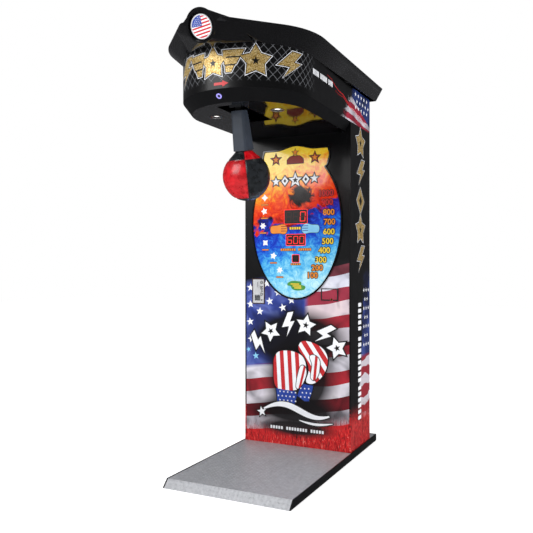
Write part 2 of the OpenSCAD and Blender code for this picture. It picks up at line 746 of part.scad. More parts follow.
// Half the clear width inside the band at y.
function chord(y) = let (r = band_r - sheet_t - fit_gap)
    y > band_y ? r : sqrt(r * r - pow(y - band_y, 2));
module head_frame() color("#2a2c30") {
    long_y = band_y - 230;
    for (s = [-1, 1]) {
        slab(tube_w, cab_back - 30 - long_y, tube_w, long_y, frame_low, s * bearing_x);
        slab(tube_w, tube_w, frame_low - cab_top + 1 + eps, cab_y + 20, cab_top - 1,
             s * bearing_x);
        slab(tube_w, tube_w, frame_low - cab_top + 1 + eps, cab_back - 30 - tube_w,
             cab_top - 1, s * bearing_x);
    }
    for (y = [long_y, pivot_y - 50, pivot_y + 14, cab_y + 20, cab_back - 30 - tube_w])
        slab(2 * chord(y), tube_w, tube_w, y, frame_low);
    // hanger plates for the rest buffer and the upper buffer
    arm_axis() translate([-30, -arm_w / 2 - 0.3 - buffer_l - 5, arm_len - buffer_d - 24])
        cube([60, 5, buffer_d + 68]);
    translate([0, pivot_y, pivot_z]) rotate([arm_lean + swing_max, 0, 0])
        translate([-30, arm_w / 2 + 0.3 + buffer_l, -buffer_d - 20]) cube([60, 5, 84]);
}

module arm_bearings() color("#3f6b8a")
    for (s = [-1, 1]) difference() {
        union() {
            x_rod(21, 24, [s * bearing_x, pivot_y, pivot_z]);
            slab(24, 76, 8, pivot_y - 38, frame_low - 8, s * bearing_x);
            slab(22, 30, frame_low - pivot_z - 4, pivot_y - 15, pivot_z, s * bearing_x);
        }
        x_rod(shaft_r + run_gap, 40, [s * bearing_x, pivot_y, pivot_z]);
    }

module buffer() {
    cylinder(r = buffer_r, h = buffer_l);
}
module arm_buffers() color("#1c1c1c") {
    arm_axis() translate([0, -arm_w / 2 - 0.3, arm_len - buffer_d]) rotate([90, 0, 0]) buffer();
    translate([0, pivot_y, pivot_z]) rotate([arm_lean + swing_max, 0, 0])
        translate([0, arm_w / 2 + 0.3, -buffer_d]) rotate([-90, 0, 0]) buffer();
}

module arm_shaft() color("silver") x_rod(shaft_r, 2 * bearing_x + 60, [0, pivot_y, pivot_z]);

module punch_arm() color("#17181b") difference() {
    union() {
        x_rod(hub_r, 60, [0, pivot_y, pivot_z]);
        arm_axis() translate([-arm_w / 2, -arm_w / 2, bag_top + flange_t])
            cube([arm_w, arm_w, arm_len - bag_top - flange_t]);
    }
    x_rod(shaft_r, 70, [0, pivot_y, pivot_z]);
}

module sleeve_block(t) hull() {
    translate([0, 0, sleeve_low - t]) linear_extrude(eps) rounded_square(73 - 2 * t, 90 - 2 * t, 14);
    translate([0, -1, sleeve_high + t - eps]) linear_extrude(eps)
        rounded_square(65 - 2 * t, 61 - 2 * t, 12);
}
module arm_sleeve() color("#343c48") arm_axis() difference() {
    sleeve_block(0);
    sleeve_block(sleeve_t);
}

module bag_flange() color("#6a6d72") arm_axis() translate([0, 0, bag_top])
    linear_extrude(flange_t) rounded_square(72 - 2 * sleeve_t, 86 - 2 * sleeve_t, 11);

module punch_bag() color("#b01522") arm_axis() rotate_extrude($fn = 96) polygon(concat(
    [for (a = [-90:6:asin(seam_d / bag_r)]) [bag_r * cos(a), bag_r * sin(a)]],
    [[bag_r * cos(asin(seam_d / bag_r)), seam_d], [neck_r + 13, seam_d + 22],
     [neck_r + 2, bag_top - 6], [neck_r, bag_top], [0, bag_top]]));

module sensor_disc() color("#c9ccd0") difference() {
    x_rod(29, 2, [bearing_x + 25, pivot_y, pivot_z]);
    x_rod(shaft_r, 10, [bearing_x + 25, pivot_y, pivot_z]);
    for (i = [0:11])
        translate([bearing_x + 25, pivot_y, pivot_z]) rotate([30 * i, 0, 0])
            x_rod(3, 10, [0, 0, 22]);
}

module sensor_block() color("#202226") difference() {
    slab(22, 26, 32, pivot_y - 13, pivot_z + 18, bearing_x + tube_w / 2 + 11);
    slab(5, 28, 15, pivot_y - 14, pivot_z + 17, bearing_x + 25);
}

base_frame();
tread_plate();
rail_left();
rail_right();
floor_pads();
wheel_brackets();
wheel_left();
wheel_right();
cabinet_frame();
side_left();
side_right();
front_panel();
back_panel();
rear_door();
rear_hinges();
inlet_plate();
rear_lock();
display_bezel();
display_lens();
display_board();
score_display();
record_display();
credit_display();
coin_bezel();
coin_plate();
reject_button();
coin_flap();
coin_mech();
coin_chute();
cash_box();
hatch_frame();
service_hatch();
hatch_lock();
speaker();
power_supply();
control_board();
power_inlet();
power_rocker();
head_frame();
head_band();
head_skirt();
underside_panel();
head_cap();
badge_ring();
badge_disc();
lamp_rings();
lamp_lenses();
button_bezel();
start_button();
arm_bearings();
arm_buffers();
arm_shaft();
punch_arm();
arm_sleeve();
bag_flange();
punch_bag();
sensor_disc();
sensor_block();
anchor_bolts();
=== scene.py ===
"""Looks of a boxing punch machine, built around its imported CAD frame.

Laid out as an add-on with one operator for each group of pieces, and run as a script.
"""
import json
import math

import bmesh
import bpy
from mathutils import Matrix, Vector, noise
from mathutils.bvhtree import BVHTree


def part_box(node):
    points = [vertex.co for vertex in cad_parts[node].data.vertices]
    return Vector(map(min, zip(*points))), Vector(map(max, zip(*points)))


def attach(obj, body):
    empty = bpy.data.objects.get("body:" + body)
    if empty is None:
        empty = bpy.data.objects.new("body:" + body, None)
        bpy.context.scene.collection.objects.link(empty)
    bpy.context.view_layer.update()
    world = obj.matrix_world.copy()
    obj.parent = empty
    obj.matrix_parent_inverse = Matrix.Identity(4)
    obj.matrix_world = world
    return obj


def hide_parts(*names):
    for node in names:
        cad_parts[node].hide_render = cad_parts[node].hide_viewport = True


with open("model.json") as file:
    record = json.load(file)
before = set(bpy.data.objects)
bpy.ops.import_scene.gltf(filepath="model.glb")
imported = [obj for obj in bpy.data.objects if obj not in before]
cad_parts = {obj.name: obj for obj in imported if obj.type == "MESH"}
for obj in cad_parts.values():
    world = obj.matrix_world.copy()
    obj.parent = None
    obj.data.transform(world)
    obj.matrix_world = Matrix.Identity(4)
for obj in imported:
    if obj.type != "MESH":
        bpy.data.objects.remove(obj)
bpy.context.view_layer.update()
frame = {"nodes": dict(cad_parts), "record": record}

bl_info = {"name": "Boxing punch machine", "version": (1, 0, 0), "blender": (4, 5, 0),
    "location": "View3D > Sidebar > Punch",
    "description": "Finishes, prints, tread, bag and stage of a boxing punch machine",
    "category": "Object",}

MM = 0.001
NODES = frame["nodes"]
SLOT = {part["node"]: part["material_slot"] for part in frame["record"]["subparts"]}
BODY = {n: body for body, names in frame["record"]["behaviour"]["bodies"].items() for n in names}

FRONT_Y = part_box("front_panel")[0].y
LENS_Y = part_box("display_lens")[0].y
SIDE_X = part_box("side_right")[1].x
BAND_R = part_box("head_band")[1].x
BAND_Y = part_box("head_band")[0].y + BAND_R
BACK_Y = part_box("back_panel")[1].y
TREAD_LOW, TREAD_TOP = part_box("tread_plate")

# The bag hangs on an arm that leans back. Distances along it are from the bag's middle, and one
# seam between its quarters faces the front right.
LEAN = math.radians(13)
BAG_UP = Vector((0, -math.sin(LEAN), math.cos(LEAN)))
BAG_R = 0.117
BAG_AT = Vector((0, -0.3018, 1.479))
SEAM_D = 0.083
LOW_RING_D = -0.098
NECK_D = 0.122
SEAM_FACING = Vector((0.469, -0.884, 0))
BAG_OUT = (SEAM_FACING - BAG_UP * SEAM_FACING.dot(BAG_UP)).normalized()
BAG_SIDE = BAG_UP.cross(BAG_OUT).normalized()
if BAG_SIDE.x < 0:
    BAG_SIDE.negate()

# The badge faces the player, tipped down, on a crest at the front of the cap.
BADGE_AT = Vector((0, -0.7056, 2.0656))
BADGE_OUT = Vector((0, -0.9304, -0.3665)).normalized()
BADGE_UP = Vector((0, -0.3665, 0.9304)).normalized()
SIDEWAYS = Vector((1, 0, 0))

# The bag's stuffing: cloth frames, inside pressure, and how far a point may move.
CLOTH_FRAMES = 20
CLOTH_PRESSURE = 4.0
CLOTH_REACH = 0.004
VOXEL = 0.005
RAY_START = 0.2

# The camera that shows the front and the right side.
CAMERA_AT = (1.4628, -3.0561, 1.0473)
CAMERA_TURN = (math.pi / 2, 0, 0.4574)
CAMERA_LENS = 43.85
FLOOR_HALF = 14

MATH, MIX, RANGE = "ShaderNodeMath", "ShaderNodeMix", "ShaderNodeMapRange"
NOISE, RAMP = "ShaderNodeTexNoise", "ShaderNodeValToRGB"


def linear(code):
    """Linear colour of an sRGB hex value."""
    parts = [int(code[i:i + 2], 16) / 255 for i in (1, 3, 5)]
    return tuple(c / 12.92 if c <= 0.04045 else ((c + 0.055) / 1.055) ** 2.4
        for c in parts) + (1.0,)


def add(tree, kind, inputs=None, stops=(), **settings):
    """A node with its settings, its colour stops as (place, hex), and its values and links."""
    node = tree.nodes.new(kind)
    for name, value in settings.items():
        setattr(getattr(node, "color_ramp", node), name, value)
    for key, value in (inputs or {}).items():
        if isinstance(key, int):
            socket = node.inputs[key]
        else:
            socket = next(s for s in node.inputs if s.enabled and s.name == key)
        if isinstance(value, bpy.types.Node):
            value = next(s for s in value.outputs if s.enabled)
        if isinstance(value, bpy.types.NodeSocket):
            tree.links.new(value, socket)
        else:
            socket.default_value = value
    for i, (place, code) in enumerate(stops):
        elements = node.color_ramp.elements
        element = elements[i] if i < 2 else elements.new(1.0)  # a new ramp holds two
        element.position = place
        element.color = linear(code)
    return node


def finish(name, paint, rough=(0.4, 0.5), grit=0.6, relief=0.02, cloud=60, **shader_values):
    """A surface finish: paint is two colours or a function; cloud, grit and relief are in mm."""
    material = bpy.data.materials.new(name)
    material.use_nodes = True
    tree = material.node_tree
    tree.nodes.clear()
    place = add(tree, "ShaderNodeTexCoord").outputs["Object"]
    patches = add(tree, NOISE, {"Vector": place, "Scale": 1000 / cloud, "Detail": 4.0})
    if callable(paint):
        colour = paint(tree, place, patches)
    else:
        colour = add(tree, MIX, {"Factor": patches, "A": paint[0], "B": paint[1]}, data_type="RGBA")
    grain = add(tree, NOISE, {"Vector": place, "Scale": 1000 / grit, "Detail": 2.0})
    gloss = add(tree, RANGE, {"Value": patches, "From Min": 0.3, "From Max": 0.7,
        "To Min": rough[0], "To Max": rough[1]})
    bump = add(tree, "ShaderNodeBump", {"Height": grain, "Strength": 0.6, "Distance": relief * MM})
    inputs = {"Base Color": colour, "Roughness": gloss, "Normal": bump, **shader_values}
    shader = add(tree, "ShaderNodeBsdfPrincipled", inputs)
    add(tree, "ShaderNodeOutputMaterial", {"Surface": shader})
    return material


# ---------------------------------------------------------------- prints

def front_print(tree, place, patches):
    """Waving striped cloth with a blue field, worn red at the foot, black at the top."""
    px, py, pz = add(tree, "ShaderNodeSeparateXYZ", {0: place}).outputs
    wave = add(tree, NOISE, {"Vector": place, "Scale": 4.0, "Detail": 1.0})
    lean = add(tree, MATH, {0: px, 1: -0.15, 2: 0.048}, operation="MULTIPLY_ADD")
    height = add(tree, MATH, {0: pz, 1: lean}, operation="ADD")
    bend = add(tree, MATH, {0: wave, 1: 0.05, 2: -0.025}, operation="MULTIPLY_ADD")
    stripe_at = add(tree, MATH, {0: height, 1: bend}, operation="ADD")
    scaled = add(tree, MATH, {0: stripe_at, 1: 0.8}, operation="MULTIPLY")
    stripes = add(tree, RAMP, {0: scaled}, stops=[(0.0, "#cf1b20"), (0.194 * 0.8, "#b7b0b6"),
        (0.271 * 0.8, "#6d0f1c"), (0.343 * 0.8, "#dcd6dc"), (0.416 * 0.8, "#b3202e"),
        (0.488 * 0.8, "#e2dee4"), (0.565 * 0.8, "#a31f30"), (0.614 * 0.8, "#3d1018"),
        (0.633 * 0.8, "#d5cdd4"), (0.711 * 0.8, "#a92334"), (0.785 * 0.8, "#dcc9cd"),
        (0.862 * 0.8, "#a03044"), (0.935 * 0.8, "#dcdde8"), (1.008 * 0.8, "#7c3440"),
        (1.06 * 0.8, "#17161a")], interpolation="CONSTANT")
    # Folds of the printed cloth, about 180 mm wide.
    folds = add(tree, NOISE, {"Vector": place, "Scale": 5.5, "Detail": 2.0, "Distortion": 1.2})
    shade = add(tree, RAMP, {0: folds}, stops=[(0.3, "#6c6c74"), (0.48, "#e8e8ee"),
        (0.62, "#ffffff"), (0.75, "#9c9ca4")])
    cloth = add(tree, MIX, {"Factor": 0.75, "A": stripes, "B": shade}, data_type="RGBA",
        blend_type="MULTIPLY")
    blue = add(tree, RAMP, {0: folds}, stops=[(0.3, "#101a4c"), (0.5, "#2b3c8c"), (0.65, "#5767ae"),
        (0.75, "#30347c")])
    above = add(tree, RANGE, {"Value": height, "From Min": 0.548, "From Max": 0.572})
    leftward = add(tree, RANGE, {"Value": px, "From Min": 0.078, "From Max": 0.05})
    canton = add(tree, MATH, {0: above, 1: leftward}, operation="MULTIPLY")
    flag = add(tree, MIX, {"Factor": canton, "A": cloth, "B": blue}, data_type="RGBA")
    # Scratched red ground: streaks about 4 mm apart, leaning like grass.
    streak_place = add(tree, "ShaderNodeMapping", {"Vector": place, "Rotation": (0, 0.35, 0),
        "Scale": (140, 1, 22)})
    streaks = add(tree, NOISE, {"Vector": streak_place, "Scale": 1.0, "Detail": 3.0,
        "Distortion": 2.0})
    ground = add(tree, RAMP, {0: streaks}, stops=[(0.34, "#3c080a"), (0.44, "#c01318"),
        (0.58, "#dc1f22"), (0.66, "#e8584c"), (0.72, "#f0b0a4")])
    edge = add(tree, MATH, {0: streaks, 1: 0.22, 2: height}, operation="MULTIPLY_ADD")
    worn = add(tree, RANGE, {"Value": edge, "From Min": 0.34, "From Max": 0.27})
    low = add(tree, MIX, {"Factor": worn, "A": flag, "B": ground}, data_type="RGBA")
    # Dark soft halo behind the gloves and the marks.
    halo = low
    for (x, z), (rx, rz), soft in (((0.02, 0.43), (0.225, 0.26), 0.45),
            ((0.0, 0.235), (0.29, 0.085), 0.5), ((0.0, 0.14), (0.24, 0.05), 0.5),
            ((0.0, 0.64), (0.31, 0.17), 0.4)):
        spot = add(tree, "ShaderNodeMapping", {"Vector": place, "Location": (-x / rx, 0, -z / rz),
            "Scale": (1 / rx, 0, 1 / rz)})
        away = add(tree, "ShaderNodeVectorMath", {0: spot}, operation="LENGTH").outputs["Value"]
        dark = add(tree, RANGE, {"Value": away, "From Min": 1.12, "From Max": 1.12 - soft})
        part = add(tree, MATH, {0: dark, 1: 0.97}, operation="MULTIPLY")
        halo = add(tree, MIX, {"Factor": part, "A": halo, "B": linear("#100d10")}, data_type="RGBA")
    # The print turns black behind the display, higher on the right.
    fade = add(tree, MATH, {0: px, 1: -0.2, 2: pz}, operation="MULTIPLY_ADD")
    top = add(tree, RANGE, {"Value": fade, "From Min": 1.0, "From Max": 1.035})
    return add(tree, MIX, {"Factor": top, "A": halo, "B": linear("#08080a")}, data_type="RGBA")


def display_print(tree, place, patches):
    """Flames above, ice below, with a dark scorched patch between."""
    px, py, pz = add(tree, "ShaderNodeSeparateXYZ", {0: place}).outputs
    flame = add(tree, NOISE, {"Vector": place, "Scale": 15.0, "Detail": 8.0, "Roughness": 0.68,
        "Distortion": 1.8})
    frost = add(tree, NOISE, {"Vector": place, "Scale": 20.0, "Detail": 9.0, "Roughness": 0.78,
        "Distortion": 1.0})
    heat = add(tree, RANGE, {"Value": pz, "From Min": 1.30, "From Max": 1.70, "To Min": -0.1,
        "To Max": 0.56})
    right = add(tree, MATH, {0: px, 1: -0.6, 2: heat}, operation="MULTIPLY_ADD")
    hot = add(tree, MATH, {0: flame, 1: 0.95, 2: right}, operation="MULTIPLY_ADD")
    fire = add(tree, RAMP, {0: hot}, stops=[(0.24, "#1c0806"), (0.33, "#7c1006"), (0.46, "#cf2008"),
        (0.62, "#e8440c"), (0.76, "#ee8a10"), (0.88, "#f2bf14"), (1.0, "#f4d23a")])
    depth = add(tree, RANGE, {"Value": pz, "From Min": 1.38, "From Max": 0.95, "To Min": -0.52,
        "To Max": 0.2})
    side = add(tree, MATH, {0: px, 1: 0.5, 2: depth}, operation="MULTIPLY_ADD")
    cold = add(tree, MATH, {0: frost, 1: 1.25, 2: side}, operation="MULTIPLY_ADD")
    ice = add(tree, RAMP, {0: cold}, stops=[(0.02, "#05071c"), (0.14, "#081a80"), (0.3, "#1238bd"),
        (0.46, "#2474d4"), (0.6, "#4aade2"), (0.76, "#86d0ec"), (0.95, "#c2ecf6")])
    line = add(tree, MATH, {0: px, 1: -0.22, 2: pz}, operation="MULTIPLY_ADD")
    tongues = add(tree, NOISE, {"Vector": place, "Scale": 9.0, "Detail": 6.0, "Distortion": 1.0})
    rough_line = add(tree, MATH, {0: tongues, 1: 0.36, 2: line}, operation="MULTIPLY_ADD")
    border = add(tree, RANGE, {"Value": rough_line, "From Min": 1.495, "From Max": 1.515})
    picture = add(tree, MIX, {"Factor": border, "A": ice, "B": fire}, data_type="RGBA")
    spot = add(tree, "ShaderNodeMapping", {"Vector": place, "Location": (-0.3, 0, -14.4),
        "Scale": (8.5, 0, 10.0)})
    away = add(tree, "ShaderNodeVectorMath", {0: spot}, operation="LENGTH").outputs["Value"]
    ragged = add(tree, MATH, {0: flame, 1: 1.3, 2: away}, operation="MULTIPLY_ADD")
    scorch = add(tree, RANGE, {"Value": ragged, "From Min": 1.32, "From Max": 1.12})
    return add(tree, MIX, {"Factor": scorch, "A": picture, "B": linear("#140b0a")},
        data_type="RGBA")


def band_print(tree, place, patches):
    """Black head with a grey wire mesh in front and a torn flag at the back of each side."""
    px, py, pz = add(tree, "ShaderNodeSeparateXYZ", {0: place}).outputs
    ahead = add(tree, MATH, {0: py, 1: BAND_Y}, operation="SUBTRACT")
    turned = add(tree, MATH, {0: px, 1: ahead}, operation="ARCTAN2")
    # Mesh wire 2 mm thick in 42 mm diamonds.
    lines = []
    for sense in (1, -1):
        run = add(tree, MATH, {0: turned, 1: sense * BAND_R}, operation="MULTIPLY")
        both = add(tree, MATH, {0: run, 1: pz}, operation="ADD")
        lines.append(add(tree, MATH, {0: both, 1: 0.021}, operation="PINGPONG"))
    near = add(tree, MATH, {0: lines[0], 1: lines[1]}, operation="MINIMUM")
    wire = add(tree, RANGE, {"Value": near, "From Min": 0.0016, "From Max": 0.0006})
    low = add(tree, RANGE, {"Value": pz, "From Min": 1.858, "From Max": 1.872})
    front = add(tree, RANGE, {"Value": py, "From Min": -0.22, "From Max": -0.30})
    mesh_part = add(tree, MATH, {0: wire, 1: low}, operation="MULTIPLY")
    mesh = add(tree, MATH, {0: mesh_part, 1: front}, operation="MULTIPLY")
    base = add(tree, MIX, {"Factor": mesh, "A": linear("#09090a"), "B": linear("#74767a")},
        data_type="RGBA")
    wave = add(tree, NOISE, {"Vector": place, "Scale": 7.0, "Detail": 1.0})
    lift = add(tree, MATH, {0: wave, 1: 0.05, 2: pz}, operation="MULTIPLY_ADD")
    back = add(tree, MATH, {0: py, 1: 0.12, 2: lift}, operation="MULTIPLY_ADD")
    count = add(tree, MATH, {0: back, 1: 0.033}, operation="PINGPONG")
    along = add(tree, MATH, {0: count, 1: 30.0}, operation="MULTIPLY")
    stripes = add(tree, RAMP, {0: along}, stops=[(0.0, "#a3223a"), (0.48, "#c9c4cc")],
        interpolation="CONSTANT")
    field = add(tree, MATH, {0: py, 1: 0.35, 2: pz}, operation="MULTIPLY_ADD")
    canton = add(tree, MATH, {0: field, 1: 2.078}, operation="GREATER_THAN")
    flag = add(tree, MIX, {"Factor": canton, "A": stripes, "B": linear("#22346f")},
        data_type="RGBA")
    shade = add(tree, RAMP, {0: wave}, stops=[(0.3, "#55555c"), (0.55, "#ffffff"),
        (0.75, "#9a9aa0")])
    cloth = add(tree, MIX, {"Factor": 0.8, "A": flag, "B": shade}, data_type="RGBA",
        blend_type="MULTIPLY")
    torn = add(tree, NOISE, {"Vector": place, "Scale": 60.0, "Detail": 4.0})
    start = add(tree, MATH, {0: pz, 1: -0.9, 2: py}, operation="MULTIPLY_ADD")
    reach = add(tree, MATH, {0: torn, 1: 0.16, 2: start}, operation="MULTIPLY_ADD")
    shown = add(tree, RANGE, {"Value": reach, "From Min": -1.42, "From Max": -1.36})
    return add(tree, MIX, {"Factor": shown, "A": base, "B": cloth}, data_type="RGBA")


def side_print(tree, place, patches):
    """Black side with a starry blue field at the back below, and worn red at the foot."""
    px, py, pz = add(tree, "ShaderNodeSeparateXYZ", {0: place}).outputs
    torn = add(tree, NOISE, {"Vector": place, "Scale": 45.0, "Detail": 5.0})
    folds = add(tree, NOISE, {"Vector": place, "Scale": 6.0, "Detail": 2.0})
    blue = add(tree, RAMP, {0: folds}, stops=[(0.3, "#0c1130"), (0.5, "#243370"), (0.7, "#3c4c90")])
    wave = add(tree, MATH, {0: folds, 1: 0.12, 2: pz}, operation="MULTIPLY_ADD")
    count = add(tree, MATH, {0: wave, 1: 0.05}, operation="PINGPONG")
    along = add(tree, MATH, {0: count, 1: 20.0}, operation="MULTIPLY")
    stripes = add(tree, RAMP, {0: along}, stops=[(0.0, "#93202f"), (0.5, "#c3bcc4")],
        interpolation="CONSTANT")
    split = add(tree, RANGE, {"Value": pz, "From Min": 0.53, "From Max": 0.55})
    flag = add(tree, MIX, {"Factor": split, "A": stripes, "B": blue}, data_type="RGBA")
    start = add(tree, MATH, {0: pz, 1: -0.12, 2: py}, operation="MULTIPLY_ADD")
    reach = add(tree, MATH, {0: torn, 1: 0.07, 2: start}, operation="MULTIPLY_ADD")
    behind = add(tree, RANGE, {"Value": reach, "From Min": 0.435, "From Max": 0.455})
    under = add(tree, RANGE, {"Value": wave, "From Min": 1.08, "From Max": 1.0})
    shown = add(tree, MATH, {0: behind, 1: under}, operation="MULTIPLY")
    upper = add(tree, MIX, {"Factor": shown, "A": linear("#0a0a0b"), "B": flag}, data_type="RGBA")
    streak_place = add(tree, "ShaderNodeMapping", {"Vector": place, "Scale": (1, 120, 22)})
    streaks = add(tree, NOISE, {"Vector": streak_place, "Scale": 1.0, "Detail": 3.0,
        "Distortion": 2.0})
    ground = add(tree, RAMP, {0: streaks}, stops=[(0.36, "#2c0608"), (0.46, "#a81216"),
        (0.6, "#c81c20"), (0.7, "#e07a70")])
    edge = add(tree, MATH, {0: streaks, 1: 0.3, 2: pz}, operation="MULTIPLY_ADD")
    worn = add(tree, RANGE, {"Value": edge, "From Min": 0.42, "From Max": 0.36})
    return add(tree, MIX, {"Factor": worn, "A": upper, "B": ground}, data_type="RGBA")


def bag_paint(tree, place, patches):
    """Red and black quarters that swap colour at the upper seam, with a dark lower cap."""
    from_centre = add(tree, "ShaderNodeVectorMath", {0: place, 1: tuple(BAG_AT)},
        operation="SUBTRACT")
    along = {}
    for key, way in (("side", BAG_SIDE), ("out", BAG_OUT), ("up", BAG_UP)):
        along[key] = add(tree, "ShaderNodeVectorMath", {0: from_centre, 1: tuple(way)},
            operation="DOT_PRODUCT").outputs["Value"]
    over = add(tree, MATH, {0: along["up"], 1: SEAM_D}, operation="SUBTRACT")
    cross = add(tree, MATH, {0: along["side"], 1: along["out"]}, operation="MULTIPLY")
    both = add(tree, MATH, {0: cross, 1: over}, operation="MULTIPLY")
    red = add(tree, MATH, {0: both, 1: 0.0}, operation="GREATER_THAN")
    body = add(tree, MATH, {0: along["up"], 1: LOW_RING_D}, operation="GREATER_THAN")
    shown = add(tree, MATH, {0: red, 1: body}, operation="MULTIPLY")
    reds = add(tree, RAMP, {0: patches}, stops=[(0.35, "#a3050f"), (0.65, "#d00a18")])
    blacks = add(tree, RAMP, {0: patches}, stops=[(0.35, "#131517"), (0.65, "#22262a")])
    return add(tree, MIX, {"Factor": shown, "A": blacks, "B": reds}, data_type="RGBA")


def glitter_paint(tree, place, patches):
    """Gold flakes about 3 mm across, each its own tone."""
    flakes = add(tree, "ShaderNodeTexVoronoi", {"Vector": place, "Scale": 330.0})
    tone = add(tree, "ShaderNodeSeparateColor", {0: flakes.outputs["Color"]})
    return add(tree, RAMP, {0: tone}, stops=[(0.0, "#7a5f2c"), (0.35, "#b8944c"), (0.7, "#d6b772"),
        (1.0, "#f4e2b0")])


def board_paint(tree, place, patches):
    """Green solder mask over tracks about 2 mm apart."""
    tracks = add(tree, "ShaderNodeTexBrick", {"Vector": place, "Scale": 60.0, "Mortar Size": 0.03,
        "Color1": linear("#0e5a34"), "Color2": linear("#0b4a2b"), "Mortar": linear("#2c8a55")})
    return tracks


FINISHES = {}


def make_finishes(colours):
    """Every finish of the machine, by slot or by print."""
    def own(name):
        return tuple(getattr(colours, name)) + (1.0,)
    made = FINISHES
    film = {"Specular IOR Level": 0.3, "Coat Weight": 0.12, "Coat Roughness": 0.1}
    # Each row: slot, name, paint or its two colours, roughness, grit, relief, cloud, shader values.
    for slot, name, paint, *rest, values in (
            # Fine orange peel, satin black.
            ("black_powdercoat", "powder_coated_steel", ("#0b0b0d", "#101113"), (0.38, 0.5), 0.9,
             0.05, {"Specular IOR Level": 0.3}),
            # Screen-printed vinyl laminated on steel: flat colour under a clear gloss film.
            ("front", "printed_vinyl_front", front_print, (0.32, 0.4), 1.0, 0.01, film),
            ("side", "printed_vinyl_side", side_print, (0.32, 0.4), 1.0, 0.01, film),
            ("band", "printed_vinyl_band", band_print, (0.3, 0.38), 1.0, 0.01, film),
            # Mill finish with faint drawing lines and scuffs.
            ("tread_aluminium", "rolled_tread_aluminium", ("#8e9094", "#cfd0d4"), (0.32, 0.5), 2.0,
             0.08, 16, {"Metallic": 0.45}),
            # Stoved enamel on the base frame: hard, even satin.
            ("frame_paint", "stoved_black_enamel", ("#1a1c1f", "#26292d"), (0.35, 0.5), 0.8, 0.03,
             {}),
            # Matt, slightly dusty.
            ("rubber_black", "moulded_rubber", ("#121212", "#242424"), (0.7, 0.85), 1.2, 0.08, 20,
             {}),
            # Cloudy grey with a soft shine.
            ("zinc_steel", "zinc_plated_steel", ("#8d9196", "#b6b9bd"), (0.3, 0.45), 0.7, 0.01, 14,
             {"Metallic": 1.0}),
            # Vacuum-formed ABS: deep mirror-like black skin with a faint ripple.
            ("gloss_black_moulding", "gloss_abs", (own("gloss_black"), "#0d0d0f"), (0.12, 0.18),
             9.0, 0.05, 80, {"Coat Weight": 0.3, "Coat Roughness": 0.06}),
            # A flat dark mirror.
            ("black_acrylic", "cast_black_acrylic", ("#08080a", "#0c0c0f"), (0.04, 0.08), 20.0,
             0.01, {}),
            # Picture behind a clear, polished sheet.
            ("display", "back_printed_acrylic", display_print, (0.12, 0.2), 6.0, 0.01, 40,
             {"Coat Weight": 0.5, "Coat Roughness": 0.04}),
            # Satin with a fine spark texture.
            ("dark_plastic", "spark_textured_abs", ("#17181a", "#202225"), (0.5, 0.62), 0.7, 0.06,
             30, {}),
            # Smoky red window over the segments, smooth and dark when unlit.
            ("led_module", "red_filter_plastic", ("#240808", "#380c0c"), (0.2, 0.3), {}),
            # Green lacquer that shines over raised tracks.
            ("circuit_board", "solder_masked_board", board_paint, (0.3, 0.4), 1.5, 0.05, {}),
            # Bright, with hairline brushing.
            ("bright_steel", "polished_stainless_steel", ("#d9dade", "#f0f1f2"), (0.28, 0.36), 1.0,
             0.002, 30, {"Metallic": 0.45}),
            # Brown lacquer that lets the metal glint through.
            ("bronze_trim", "bronze_lacquered_steel", ("#4a3527", "#6c4e38"), (0.3, 0.42), 0.6,
             0.02, 12, {"Metallic": 0.6}),
            # Warm metal with fine lathe marks.
            ("lock_brass", "turned_brass", ("#a9843f", "#d3ad62"), (0.2, 0.32), 0.5, 0.01, 8,
             {"Metallic": 1.0}),
            # Frosted glass lit evenly from behind.
            ("lamp_glass", "frosted_lamp_glass", ("#ffffff", "#f2f6ff"), (0.3, 0.4), 2.0, 0.02, 20,
             {"Emission Color": linear("#fff8ee"), "Emission Strength": 4.0}),
            # Blue-grey, satin, a little waxy.
            ("sleeve_plastic", "rotomoulded_polyethylene", (own("sleeve"), "#2c323b"), (0.38, 0.5),
             1.4, 0.05, 50, {}),
            # Pebble grain about 2.5 mm, glossy where it is stretched.
            ("bag_leather", "coated_bag_leather", bag_paint, (0.24, 0.36), 2.6, 0.16, 22,
             {"Coat Weight": 0.35, "Coat Roughness": 0.16}),
            # Smooth, coloured through, with soft highlights.
            ("red_plastic", "moulded_red_abs", ("#9c0d10", "#c3181b"), (0.25, 0.35), {}),
            # Sparkling foil with a rough, flaky skin.
            ("gold", "gold_glitter_foil", glitter_paint, (0.3, 0.5), 3.0, 0.2, 6,
             {"Metallic": 0.55})):
        if not callable(paint):
            paint = [linear(code) if isinstance(code, str) else code for code in paint]
        made[slot] = finish(name, paint, *rest, **values)
    made["printed_panel"] = made["side"]
    made["printed_acrylic"] = made["display"]
    # Screen inks: opaque, even, slightly raised.
    for key, low, high in (("white", "#dfe1e6", "#f4f5f8"), ("red", "#b3131b", "#cf1c22"),
            ("blue", "#14318a", "#1c46a8"), ("black", "#070708", "#0d0d0f"),
            ("orange", "#d8701a", "#ee9a24"), ("yellow", "#e2b61c", "#f6d63a"),
            ("maroon", "#6e1a10", "#93281a"), ("pale_blue", "#56a8d8", "#9ad6ee"),
            ("green", "#2f7a3a", "#5aa63c"), ("dim", "#0a0908", "#14100c")):
        made[key] = finish("screen_ink_" + key, (linear(low), linear(high)), (0.3, 0.42), 1.5, 0.02,
            25)
    # Lit parts: red segments and the lilac ring of the start button. The unlit, dark segments get a
    # faint painted glow as well.
    for key, code, power in (("segment", "#f0201a", 0.7), ("dull_segment", "#3a0d0a", 0.1),
            ("lilac", "#9088dc", 0.5)):
        made[key] = finish("lit_" + key, (linear(code), linear(code)), (0.3, 0.4), 1.0, 0.01, 10,
            **{"Emission Color": linear(code), "Emission Strength": power})


# ---------------------------------------------------------------- shapes

